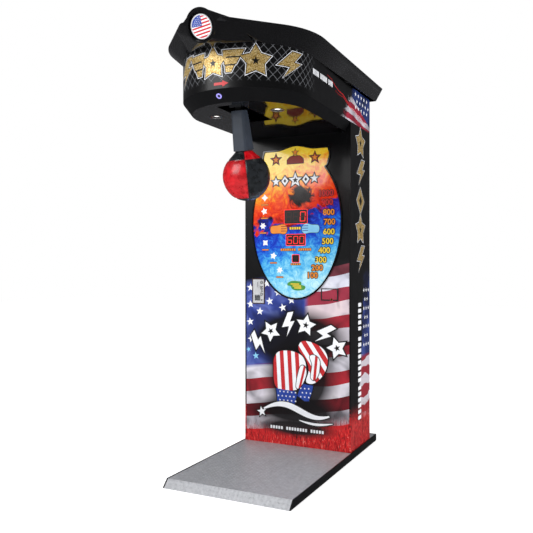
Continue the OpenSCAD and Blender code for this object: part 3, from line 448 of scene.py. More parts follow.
def as_object(name, bm, materials=()):
    """A linked object that holds a bmesh, which is spent."""
    mesh = bpy.data.meshes.new(name)
    bm.to_mesh(mesh)
    bm.free()
    for material in materials:
        mesh.materials.append(material)
    obj = bpy.data.objects.new(name, mesh)
    bpy.context.scene.collection.objects.link(obj)
    return obj


def as_bmesh(mesh):
    """A bmesh of a mesh, which is spent."""
    bm = bmesh.new()
    bm.from_mesh(mesh)
    bpy.data.meshes.remove(mesh)
    return bm


def new_piece(name, bm, finish_name, body, smooth):
    """A finished piece from a bmesh, riding on its body, sharp above an angle in degrees."""
    bmesh.ops.remove_doubles(bm, verts=bm.verts, dist=2e-6)
    bmesh.ops.recalc_face_normals(bm, faces=bm.faces)
    piece = as_object(name, bm, [FINISHES[finish_name]])
    piece.data.polygons.foreach_set("use_smooth", [True] * len(piece.data.polygons))
    piece.data.set_sharp_from_angle(angle=math.radians(smooth))
    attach(piece, body)
    return piece


def evaluated(obj):
    """A plain mesh of an object with its modifiers and curve fill worked out; the object goes."""
    bpy.context.view_layer.update()
    graph = bpy.context.evaluated_depsgraph_get()
    mesh = bpy.data.meshes.new_from_object(obj.evaluated_get(graph), depsgraph=graph)
    bpy.data.objects.remove(obj)
    return mesh


def star(u, v, r, turn=0.0, inner=0.42, points=5):
    """A star, turned in degrees; inner is its waist as a share of its radius."""
    loop = []
    for i in range(points * 2):
        a = math.radians(90 + turn) + math.pi * i / points
        s = r * (1 if i % 2 == 0 else inner)
        loop.append((u + s * math.cos(a), v + s * math.sin(a)))
    return loop


def diamond(u, v, wide, tall):
    return [(u + wide, v), (u, v + tall), (u - wide, v), (u, v - tall)]


def bolt(u, v, w, h, turn=0.0):
    """A lightning bolt, turned in degrees."""
    shape = ((-0.16, -0.5), (0.06, -0.08), (-0.34, -0.08), (0.12, 0.5), (0.44, 0.5), (0.16, 0.1),
        (0.42, 0.1))
    c, s = math.cos(math.radians(turn)), math.sin(math.radians(turn))
    return [(u + a * w * c - b * h * s, v + a * w * s + b * h * c) for a, b in shape]


def panel(u0, v0, u1, v1, r=0.0, lean=0.0):
    """A rectangle with rounded corners; lean shifts its top."""
    loop = []
    for cu, cv, a0 in ((u1 - r, v0 + r, -90), (u1 - r, v1 - r, 0), (u0 + r, v1 - r, 90),
            (u0 + r, v0 + r, 180)):
        steps = 5 if r else 1
        for i in range(steps):
            a = math.radians(a0 + (90 * i / (steps - 1) if steps > 1 else 0))
            v = cv + r * math.sin(a)
            loop.append((cu + r * math.cos(a) + lean * (v - v0) / (v1 - v0), v))
    return loop


def dashes(u, v, pitch, wide, tall, r, count, gaps=()):
    """A row of short bars with some left out."""
    return [[panel(u + i * pitch, v, u + i * pitch + wide, v + tall, r)] for i in range(count)
        if i not in gaps]


def round_loop(points, steps=6):
    """A smooth closed loop through a few points."""
    loop = []
    n = len(points)
    for i in range(n):
        p = [Vector(points[(i + k - 1) % n]) for k in range(4)]
        for j in range(steps):
            t = j / steps
            q = 0.5 * (2 * p[1] + (p[2] - p[0]) * t + (2 * p[0] - 5 * p[1] + 4 * p[2] - p[3]) * t
                * t + (3 * p[1] - p[0] - 3 * p[2] + p[3]) * t ** 3)
            loop.append((q.x, q.y))
    return loop


def ribbon(points, width, taper=True):
    """A band along a line of points, narrowing to its ends."""
    left, right = [], []
    last = len(points) - 1
    for i, p in enumerate(points):
        ahead = Vector(points[min(i + 1, last)]) - Vector(points[max(i - 1, 0)])
        across = Vector((-ahead.y, ahead.x)).normalized()
        w = width / 2 * (math.sin(math.pi * (0.08 + 0.84 * i / last)) if taper else 1)
        left.append((p[0] + across.x * w, p[1] + across.y * w))
        right.append((p[0] - across.x * w, p[1] - across.y * w))
    return right + left[::-1]


def grow(loop, distance):
    """The loop moved outwards by a distance, with limited mitres."""
    area = sum(a[0] * b[1] - b[0] * a[1] for a, b in zip(loop, loop[1:] + loop[:1]))
    sign = 1 if area > 0 else -1
    out = []
    n = len(loop)
    for i in range(n):
        p, q, r = (Vector(loop[(i + k - 1) % n]) for k in range(3))
        one, two = (q - p), (r - q)
        if one.length < 1e-9 or two.length < 1e-9:
            continue
        one, two = one.normalized(), two.normalized()
        n1, n2 = Vector((one.y, -one.x)) * sign, Vector((two.y, -two.x)) * sign
        mitre = n1 + n2
        if mitre.length < 1e-6:
            mitre = n1
        mitre.normalize()
        out.append(tuple(q + mitre * distance / max(mitre.dot(n1), 0.45)))
    return out


SEGMENTS = {"0": "abcdef", "6": "acdefg", "8": "abcdefg", "1": "bc"}


def digit(figure, u, v, w, h, lit=True):
    """The lit or dark bars of a seven-segment figure."""
    t, g, lean = w * 0.12, w * 0.05, h * 0.06
    half = h / 2
    bars = {"a": (g, h - t, w - g, h), "g": (g, half - t / 2, w - g, half + t / 2),
        "d": (g, 0, w - g, t), "f": (0, half + g, t, h - g), "b": (w - t, half + g, w, h - g),
        "e": (0, g, t, half - g), "c": (w - t, g, w, half - g)}
    names = SEGMENTS[figure] if lit else [k for k in bars if k not in SEGMENTS[figure]]
    shapes = []
    for key in names:
        a, b, c, d = bars[key]
        m = (b + d) / 2 / h * lean
        shapes.append([panel(u + a + m, v + b, u + c + m, v + d, t * 0.3)])
    return shapes


def filled(shape, thick, text_offset=0.0):
    """A closed flat solid from outlines, or from a numeral given as (text, u, v, size)."""
    if isinstance(shape, tuple):
        text, u, v, size = shape
        curve = bpy.data.curves.new("numeral", "FONT")
        curve.body = text
        curve.size = size
        curve.align_x, curve.align_y = "CENTER", "CENTER"
        curve.offset = size * 0.018 + text_offset
        curve.resolution_u = 3
        shift = Vector((u, v, 0))
    else:
        curve = bpy.data.curves.new("outline", "CURVE")
        curve.dimensions = "2D"
        for loop in shape:
            spline = curve.splines.new("POLY")
            spline.points.add(len(loop) - 1)
            for point, (u, v) in zip(spline.points, loop):
                point.co = (u, v, 0, 1)
            spline.use_cyclic_u = True
        shift = Vector()
    curve.fill_mode = "BOTH"
    curve.extrude = thick / 2
    obj = bpy.data.objects.new("outline", curve)
    bpy.context.scene.collection.objects.link(obj)
    mesh = evaluated(obj)
    bpy.data.curves.remove(curve)
    bm = as_bmesh(mesh)
    bmesh.ops.remove_doubles(bm, verts=bm.verts, dist=1e-6)
    for vert in bm.verts:
        vert.co += shift
    return bm


def print_on(name, layers, place, body="machine", slices=None):
    """Inks laid one over the other on a surface: layers are (finish, shapes[, text offset])."""
    step = bpy.context.scene.punch_sizes.ink_step
    whole = bmesh.new()
    keys = []
    for level, layer in enumerate(layers, 1):
        key, shapes = layer[0], layer[1]
        if key not in keys:
            keys.append(key)
        for shape in shapes:
            bm = filled(shape, 1.0, layer[2] if len(layer) > 2 else 0.0)
            if slices:
                low = min(v.co.x for v in bm.verts)
                high = max(v.co.x for v in bm.verts)
                for i in range(math.floor(low / slices), math.ceil(high / slices)):
                    geometry = bm.verts[:] + bm.edges[:] + bm.faces[:]
                    bmesh.ops.bisect_plane(bm, geom=geometry, plane_co=(i * slices, 0, 0),
                        plane_no=(1, 0, 0))
            for face in bm.faces:
                face.material_index = keys.index(key)
            for vert in bm.verts:
                height = level * step if vert.co.z > 0 else -step / 2
                vert.co = place(vert.co.x, vert.co.y, height)
            bmesh.ops.recalc_face_normals(bm, faces=bm.faces)
            part = bpy.data.meshes.new("part")
            bm.to_mesh(part)
            bm.free()
            whole.from_mesh(part)
            bpy.data.meshes.remove(part)
    piece = as_object(name, whole, [FINISHES[key] for key in keys])
    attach(piece, body)
    return piece


def on_front(u, v, w):
    return Vector((u, FRONT_Y - w, v))


def on_lens(u, v, w):
    return Vector((u, LENS_Y - w, v))


def on_right(u, v, w):
    return Vector((SIDE_X + w, u, v))


def on_left(u, v, w):
    return Vector((-SIDE_X - w, -u, v))


def on_band(u, v, w):
    """Along the head: u is the run from the middle of the nose."""
    quarter = BAND_R * math.pi / 2
    if abs(u) <= quarter:
        a = u / BAND_R
        return Vector(((BAND_R + w) * math.sin(a), BAND_Y - (BAND_R + w) * math.cos(a), v))
    return Vector((math.copysign(BAND_R + w, u), BAND_Y + abs(u) - quarter, v))


def eased(node, width, angle=32, coat=None):
    """The node's shape with softened edges, in place of the CAD node."""
    bm = bmesh.new()
    bm.from_mesh(NODES[node].data)
    bmesh.ops.remove_doubles(bm, verts=bm.verts, dist=2e-5)
    bmesh.ops.dissolve_limit(bm, angle_limit=math.radians(0.6), verts=bm.verts, edges=bm.edges)
    obj = as_object("shape", bm)
    obj.data.polygons.foreach_set("use_smooth", [True] * len(obj.data.polygons))
    bevel = obj.modifiers.new("edges", "BEVEL")
    bevel.width = width
    bevel.segments = 2
    bevel.limit_method = "ANGLE"
    bevel.angle_limit = math.radians(angle)
    weight = obj.modifiers.new("normals", "WEIGHTED_NORMAL")
    weight.keep_sharp = True
    plain = evaluated(obj)
    plain.name = node + "_eased"
    plain.materials.clear()
    plain.materials.append(FINISHES[coat or SLOT[node]])
    piece = bpy.data.objects.new(node + "_eased", plain)
    bpy.context.scene.collection.objects.link(piece)
    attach(piece, BODY[node])
    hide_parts(node)
    return piece


# ---------------------------------------------------------------- settings

class PunchSizes(bpy.types.PropertyGroup):
    """Sizes a maker would change."""
    lug_pitch: bpy.props.FloatProperty(name="Lug pitch", description="Distance between tread lugs",
        default=0.021, unit="LENGTH")
    lug_length: bpy.props.FloatProperty(name="Lug length", description="Length of one tread lug",
        default=0.015, unit="LENGTH")
    lug_height: bpy.props.FloatProperty(name="Lug height", description="How far a lug stands up",
        default=0.0012, unit="LENGTH")
    rivet_radius: bpy.props.FloatProperty(name="Rivet radius", description="Radius of a rivet head",
        default=0.0038, unit="LENGTH")
    stitch_spacing: bpy.props.FloatProperty(name="Stitch spacing",
        description="From stitch to stitch", default=0.0075, unit="LENGTH")
    seam_depth: bpy.props.FloatProperty(name="Seam depth",
        description="How deep the bag's seams pull in", default=0.0024, unit="LENGTH")
    ink_step: bpy.props.FloatProperty(name="Ink step", description="Thickness of one printed layer",
        default=0.00012, unit="LENGTH")


class PunchColours(bpy.types.PropertyGroup):
    """Colours a maker would change."""
    gloss_black: bpy.props.FloatVectorProperty(name="Gloss black", description="Head and rims",
        default=linear("#070708")[:3], subtype="COLOR")
    sleeve: bpy.props.FloatVectorProperty(name="Sleeve", description="Sleeve over the arm",
        default=linear("#3a424e")[:3], subtype="COLOR")


# ---------------------------------------------------------------- operators

class PUNCH_OT_finishes(bpy.types.Operator):
    """Give every CAD piece its real finish"""
    bl_idname = "punch.finishes"
    bl_label = "Finishes"

    def execute(self, context):
        make_finishes(context.scene.punch_colours)
        special = {"front_panel": "front", "side_left": "side", "side_right": "side",
            "head_band": "band", "display_lens": "display", "badge_disc": "white"}
        for name, node in NODES.items():
            chosen = FINISHES[special.get(name, SLOT[name])]
            if not node.material_slots:
                node.data.materials.append(chosen)
            for held in node.material_slots:
                held.material = chosen
        return {"FINISHED"}


class PUNCH_OT_shells(bpy.types.Operator):
    """Soften the edges of the mouldings, trims and handles"""
    bl_idname = "punch.shells"
    bl_label = "Eased shells"

    def execute(self, context):
        for node, width in (("head_cap", 0.003), ("head_skirt", 0.0015), ("display_bezel", 0.002),
                ("coin_bezel", 0.001), ("coin_plate", 0.0008), ("hatch_frame", 0.0008),
                ("service_hatch", 0.0005), ("badge_ring", 0.001), ("lamp_rings", 0.0006),
                ("button_bezel", 0.0006), ("start_button", 0.0006), ("arm_sleeve", 0.0015),
                ("rail_left", 0.001), ("rail_right", 0.001), ("reject_button", 0.0006)):
            eased(node, width, coat={"service_hatch": "front", "button_bezel": "lilac",
                "start_button": "dark_plastic"}.get(node))
        return {"FINISHED"}


def new_group(name, sockets):
    """An empty geometry node group with these named inputs, and its input sockets."""
    tree = bpy.data.node_groups.new(name, "GeometryNodeTree")
    for label, kind in sockets.items():
        tree.interface.new_socket(label, in_out="INPUT", socket_type="NodeSocket" + kind)
    tree.interface.new_socket("Geometry", in_out="OUTPUT", socket_type="NodeSocketGeometry")
    return tree, add(tree, "NodeGroupInput").outputs


def lay(tree, inputs, material):
    """Instances on points, made real, coated and given out: the end of every group here."""
    laid = add(tree, "GeometryNodeInstanceOnPoints", inputs)
    real = add(tree, "GeometryNodeRealizeInstances", {"Geometry": laid})
    coated = add(tree, "GeometryNodeSetMaterial", {"Geometry": real, "Material": material})
    add(tree, "NodeGroupOutput", {"Geometry": coated})


def lug_tree():
    """Nodes that lay out a field of crossed lugs."""
    tree, given = new_group("tread_lugs", {"Width": "Float", "Depth": "Float", "Across": "Int",
        "Along": "Int", "Lug Length": "Float", "Lug Height": "Float", "Material": "Material"})
    grid = add(tree, "GeometryNodeMeshGrid", {"Size X": given["Width"], "Size Y": given["Depth"],
        "Vertices X": given["Across"], "Vertices Y": given["Along"]})
    index = add(tree, "GeometryNodeInputIndex")
    row = add(tree, MATH, {0: index, 1: given["Along"]}, operation="DIVIDE")
    column = add(tree, MATH, {0: row}, operation="FLOOR")
    place = add(tree, MATH, {0: index, 1: given["Along"]}, operation="MODULO")
    both = add(tree, MATH, {0: column, 1: place}, operation="ADD")
    odd = add(tree, MATH, {0: both, 1: 2.0}, operation="MODULO")
    turn = add(tree, MATH, {0: odd, 1: math.pi / 2, 2: math.pi / 4}, operation="MULTIPLY_ADD")
    rotation = add(tree, "ShaderNodeCombineXYZ", {"Z": turn})
    ball = add(tree, "GeometryNodeMeshUVSphere", {"Segments": 8, "Rings": 4, "Radius": 1.0})
    long = add(tree, MATH, {0: given["Lug Length"], 1: 0.5}, operation="MULTIPLY")
    wide = add(tree, MATH, {0: given["Lug Length"], 1: 0.16}, operation="MULTIPLY")
    size = add(tree, "ShaderNodeCombineXYZ", {"X": long, "Y": wide, "Z": given["Lug Height"]})
    lug = add(tree, "GeometryNodeTransform", {"Geometry": ball, "Scale": size})
    lay(tree, {"Points": grid, "Instance": lug, "Rotation": rotation}, given["Material"])
    return tree


def grown(tree, start, values):
    """The mesh that a node tree makes from a start mesh or curve and named values."""
    obj = bpy.data.objects.new("grown", start)
    bpy.context.scene.collection.objects.link(obj)
    modifier = obj.modifiers.new("grown", "NODES")
    modifier.node_group = tree
    for item in tree.interface.items_tree:
        if item.in_out == "INPUT" and item.name in values:
            modifier[item.identifier] = values[item.name]
    return evaluated(obj)


class PUNCH_OT_crest(bpy.types.Operator):
    """Blend the crest that carries the badge into the cap"""
    bl_idname = "punch.crest"
    bl_label = "Crest"

    def execute(self, context):
        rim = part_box("head_cap")[1].z - 0.046
        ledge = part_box("head_band")[1].z
        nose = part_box("head_cap")[0].y
        bm = bmesh.new()
        for r, depth in ((0.0705, 0.0083), (0.0668, 0.0098)):
            for i in range(48):
                a = math.tau * i / 48
                bm.verts.new(BADGE_AT + BADGE_OUT * depth + SIDEWAYS * r * math.cos(a) + BADGE_UP
                    * (r * math.sin(a) + 0.006))
        for i in range(-6, 7):
            a = math.radians(i * 5.5)
            bm.verts.new((BAND_R * math.sin(a), BAND_Y - BAND_R * math.cos(a) + 0.004, ledge
                + 0.002))
        for side in (1, -1):
            for x, back, drop in ((0.152, 0.072, 0.012), (0.168, 0.125, 0.006), (0.12, 0.2, 0.006)):
                bm.verts.new((side * x, nose + back, rim - drop))
        bm.verts.new((0, nose + 0.27, rim - 0.006))
        hull = bmesh.ops.convex_hull(bm, input=bm.verts)
        spare = set(hull["geom_interior"]) | set(hull["geom_unused"])
        bmesh.ops.delete(bm, geom=[v for v in spare if isinstance(v, bmesh.types.BMVert)],
            context="VERTS")
        obj = as_object("crest", bm)
        remesh = obj.modifiers.new("even", "REMESH")
        remesh.mode = "VOXEL"
        remesh.voxel_size = VOXEL
        soft = obj.modifiers.new("soft", "SMOOTH")
        soft.factor, soft.iterations = 0.5, 4
        bm = bmesh.new()
        turn = BADGE_OUT.to_track_quat("Z", "Y").to_matrix().to_4x4()
        bmesh.ops.create_cone(bm, cap_ends=True, segments=96, radius1=0.062, radius2=0.0625,
            depth=0.06, matrix=Matrix.Translation(BADGE_AT + BADGE_OUT * 0.03) @ turn)
        cutter = as_object("cutter", bm)
        cut = obj.modifiers.new("seat", "BOOLEAN")
        cut.object, cut.operation, cut.solver = cutter, "DIFFERENCE", "EXACT"
        plain = evaluated(obj)
        bpy.data.objects.remove(cutter)
        bm = as_bmesh(plain)
        for face in bm.faces:
            face.material_index = 0
        new_piece("crest_fairing", bm, "gloss_black_moulding", "machine", 30)
        return {"FINISHED"}


class PUNCH_OT_tread(bpy.types.Operator):
    """Raise the crossed lugs of the tread plate and its sloping lip"""
    bl_idname = "punch.tread"
    bl_label = "Tread lugs"

    def execute(self, context):
        sizes = context.scene.punch_sizes
        tree = lug_tree()
        top = TREAD_TOP.z
        lip = TREAD_LOW.y + (top - TREAD_LOW.z)
        wide = TREAD_TOP.x - TREAD_LOW.x - 0.02
        slope = math.hypot(top - TREAD_LOW.z, lip - TREAD_LOW.y)
        fields = ((lip + 0.012, FRONT_Y - 0.012, None), (BACK_Y + 0.014, TREAD_TOP.y - 0.012, None),
            (0, slope - 0.014, math.radians(45)))
        whole = bmesh.new()
        for low, high, tilt in fields:
            deep = high - low
            across = round(wide / sizes.lug_pitch) + 1
            along = max(round(deep / sizes.lug_pitch), 1) + 1
            mesh = grown(tree, bpy.data.meshes.new("start"), {"Width": wide - 0.01, "Depth": deep,
                "Across": across, "Along": along, "Lug Length": sizes.lug_length,
                "Lug Height": sizes.lug_height, "Material": FINISHES["tread_aluminium"]})
            if tilt is None:
                move = Matrix.Translation((0, (low + high) / 2, top))
            else:
                move = Matrix.Translation((0, (TREAD_LOW.y + lip) / 2, (TREAD_LOW.z + top)
                    / 2)) @ Matrix.Rotation(tilt, 4, "X")
            mesh.transform(move)
            whole.from_mesh(mesh)
            bpy.data.meshes.remove(mesh)
        new_piece("tread_lugs", whole, "tread_aluminium", "machine", 40)
        return {"FINISHED"}


def rivet_tree():
    """Nodes that set a domed rivet on each point."""
    tree, given = new_group("rivets", {"Points": "Geometry", "Radius": "Float",
        "Material": "Material"})
    ball = add(tree, "GeometryNodeMeshUVSphere", {"Segments": 12, "Rings": 6,
        "Radius": given["Radius"]})
    flat = add(tree, "GeometryNodeTransform", {"Geometry": ball, "Scale": (1.0, 0.42, 1.0)})
    lay(tree, {"Points": given["Points"], "Instance": flat}, given["Material"])
    return tree


class PUNCH_OT_rivets(bpy.types.Operator):
    """Rivet the back panel to its frame"""
    bl_idname = "punch.rivets"
    bl_label = "Rivets"

    def execute(self, context):
        low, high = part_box("back_panel")
        points = []
        rows = 9
        for i in range(rows):
            z = low.z + 0.22 + (high.z - low.z - 0.25) * i / (rows - 1)
            points += [(x, BACK_Y, z) for x in (low.x + 0.012, high.x - 0.012)]
        points += [(x, BACK_Y, high.z - 0.012) for x in (-0.18, -0.06, 0.06, 0.18)]
        start = bpy.data.meshes.new("points")
        start.from_pydata(points, [], [])
        mesh = grown(rivet_tree(), start, {"Radius": context.scene.punch_sizes.rivet_radius,
            "Material": FINISHES["zinc_steel"]})
        new_piece("back_rivets", as_bmesh(mesh), "zinc_steel", "machine", 40)
        return {"FINISHED"}


def clipped(loop, keep):
    """The part of a loop where keep(point) is positive, for a straight cut."""
    out = []
    for a, b in zip(loop, loop[1:] + loop[:1]):
        ka, kb = keep(a), keep(b)
        if ka >= 0:
            out.append(a)
        if (ka > 0 > kb) or (ka < 0 < kb):
            t = ka / (ka - kb)
            out.append((a[0] + (b[0] - a[0]) * t, a[1] + (b[1] - a[1]) * t))
    return out


def stripes_in(loop, way, first, pitch, width, count):
    """Stripes of a width, laid across a loop along a direction."""
    found = []
    for i in range(count):
        low = first + i * pitch
        part = clipped(loop, lambda p: p[0] * way[0] + p[1] * way[1] - low)
        if len(part) > 2:
            part = clipped(part, lambda p: low + width - p[0] * way[0] - p[1] * way[1])
        if len(part) > 2:
            found.append([part])
    return found


class PUNCH_OT_front(bpy.types.Operator):
    """Print the gloves, arch, stars and swoosh on the front"""
    bl_idname = "punch.front"
    bl_label = "Front print"

    def execute(self, context):
        left = round_loop([(-0.122, 0.36), (-0.139, 0.49), (-0.128, 0.54), (-0.1, 0.566),
            (-0.04, 0.572), (0.012, 0.561), (0.045, 0.538), (0.062, 0.49), (0.05, 0.43),
            (0.02, 0.385), (-0.006, 0.352)])
        right = round_loop([(0.062, 0.405), (0.078, 0.47), (0.06, 0.53), (0.02, 0.575),
            (0.02, 0.612), (0.05, 0.632), (0.11, 0.622), (0.165, 0.592), (0.19, 0.545),
            (0.184, 0.49), (0.158, 0.44), (0.108, 0.398)])
        thumb = round_loop([(0.002, 0.372), (0.012, 0.44), (0.03, 0.49), (0.056, 0.488),
            (0.064, 0.45), (0.046, 0.4), (0.02, 0.366)])
        right_thumb = round_loop([(0.09, 0.43), (0.098, 0.5), (0.084, 0.545), (0.11, 0.556),
            (0.142, 0.53), (0.142, 0.47), (0.118, 0.42)])
        cuff_left = [(-0.122, 0.353), (-0.004, 0.345), (0.006, 0.322), (-0.014, 0.252),
            (-0.052, 0.243), (-0.112, 0.256)]
        cuff_right = [(0.036, 0.392), (0.104, 0.385), (0.1, 0.36), (0.078, 0.297), (0.052, 0.296),
            (0.008, 0.322)]
        dots = []
        for u0, v0, columns, rows in ((-0.108, 0.266, 5, 4), (0.03, 0.318, 3, 3)):
            for i in range(columns):
                for j in range(rows):
                    u = u0 + i * 0.024 + (j % 2) * 0.01
                    v = v0 + j * 0.024
                    dots.append([star(u, v, 0.0062)])
        # An arch of bold stars and bolts over the gloves.
        arch = []
        for k, turn in enumerate((54, 32.5, 10.5, -11, -32.5, -54)):
            a = math.radians(90 + turn)
            u, v = 0.003 + 0.298 * math.cos(a), 0.425 + 0.3 * math.sin(a)
            arch.append(star(u, v, 0.062, turn, 0.5) if k % 2 else bolt(u, v, 0.11, 0.132, turn))
        arch_cuts = [[star(0.003 + 0.298 * math.cos(math.radians(90 + t)), 0.425 + 0.3
            * math.sin(math.radians(90 + t)), 0.02, t)] for t in (32.5, -11, -54)]
        stars = [[star(u, v, 0.024, t)] for u, v, t in ((-0.183, 0.95, 8), (-0.288, 0.925, 0),
            (-0.288, 0.829, 6), (-0.227, 0.789, -4), (-0.164, 0.848, 10), (-0.082, 0.814, 14),
            (-0.29, 0.727, 8), (-0.112, 0.9, 8), (-0.028, 0.858, 6), (-0.283, 0.63, 20))]
        pale_stars = [[star(-0.253, 0.531, 0.022, 8)], [star(-0.3, 0.566, 0.016, 20)]]
        # A long wavy brush swoosh, a star at its start and a short stroke below stand in for a
        # written line.
        swoosh = [[ribbon([(-0.2 + 0.4 * t / 24, 0.232 + 0.032 * math.sin(t / 24 * 5.6) + 0.012 * t
            / 24) for t in range(25)], 0.034)], [star(-0.214, 0.213, 0.03, 12)],
            [ribbon([(0.02 + 0.2 * t / 14, 0.186 - 0.014 * math.sin(t / 14 * 3.1))
            for t in range(15)], 0.014)]]
        marks = dashes(-0.158, 0.124, 0.0165, 0.011, 0.017, 0.002, 20, (5, 14))
        outline = [[grow(left, 0.006)], [grow(right, 0.006)], [grow(cuff_left, 0.005)],
            [grow(cuff_right, 0.005)]]
        print_on("front_ink", [("white", stars), ("pale_blue", pale_stars),
            ("black", [[grow(a, 0.007)] for a in arch]), ("white", [[a] for a in arch]),
            ("black", arch_cuts), ("black", outline), ("white", [[right]]),
            ("red", stripes_in(right, (0.82, 0.57), 0.33, 0.052, 0.028, 5)), ("white", [[left]]),
            ("red", stripes_in(left, (1.0, 0.06), -0.114, 0.047, 0.024, 4)),
            ("blue", [[cuff_left], [cuff_right]]), ("white", dots),
            ("black", [[grow(thumb, 0.004)], [grow(right_thumb, 0.004)]]),
            ("white", [[thumb], [right_thumb]]), ("red", stripes_in(thumb, (1.0, -0.25), -0.075,
            0.03, 0.014, 3) + stripes_in(right_thumb, (1.0, -0.1), 0.062, 0.032, 0.016, 3)),
            ("black", [[grow(s[0], 0.005)] for s in swoosh]), ("white", swoosh), ("white", marks),],
            on_front)
        return {"FINISHED"}


class PUNCH_OT_coin(bpy.types.Operator):
    """Engrave plain coin marks on the coin plate"""
    bl_idname = "punch.coin"
    bl_label = "Coin plate marks"

    def execute(self, context):
        low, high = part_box("coin_plate")
        middle = (low.x + high.x) / 2

        def on_plate(u, v, w):
            return Vector((u, low.y - w, v))

        rings = []
        for dz in (0.118, 0.05):
            for r in (0.009, 0.0055):
                ring = [[(middle + 0.022 + q * math.cos(math.tau * i / 20), low.z + dz + q
                    * math.sin(math.tau * i / 20)) for i in range(20)] for q in (r, r - 0.0014)]
                rings.append(ring)
        bars = [[panel(middle + 0.012, low.z + 0.066 + i * 0.007, middle + 0.03 - 0.004 * (i % 2),
            low.z + 0.069 + i * 0.007, 0.001)] for i in range(5)]
        arrow = [[(middle + 0.016, low.z + 0.02), (middle + 0.028, low.z + 0.02),
            (middle + 0.022, low.z + 0.012)]]
        print_on("coin_ink", [("black", rings + bars + [arrow])], on_plate)
        return {"FINISHED"}


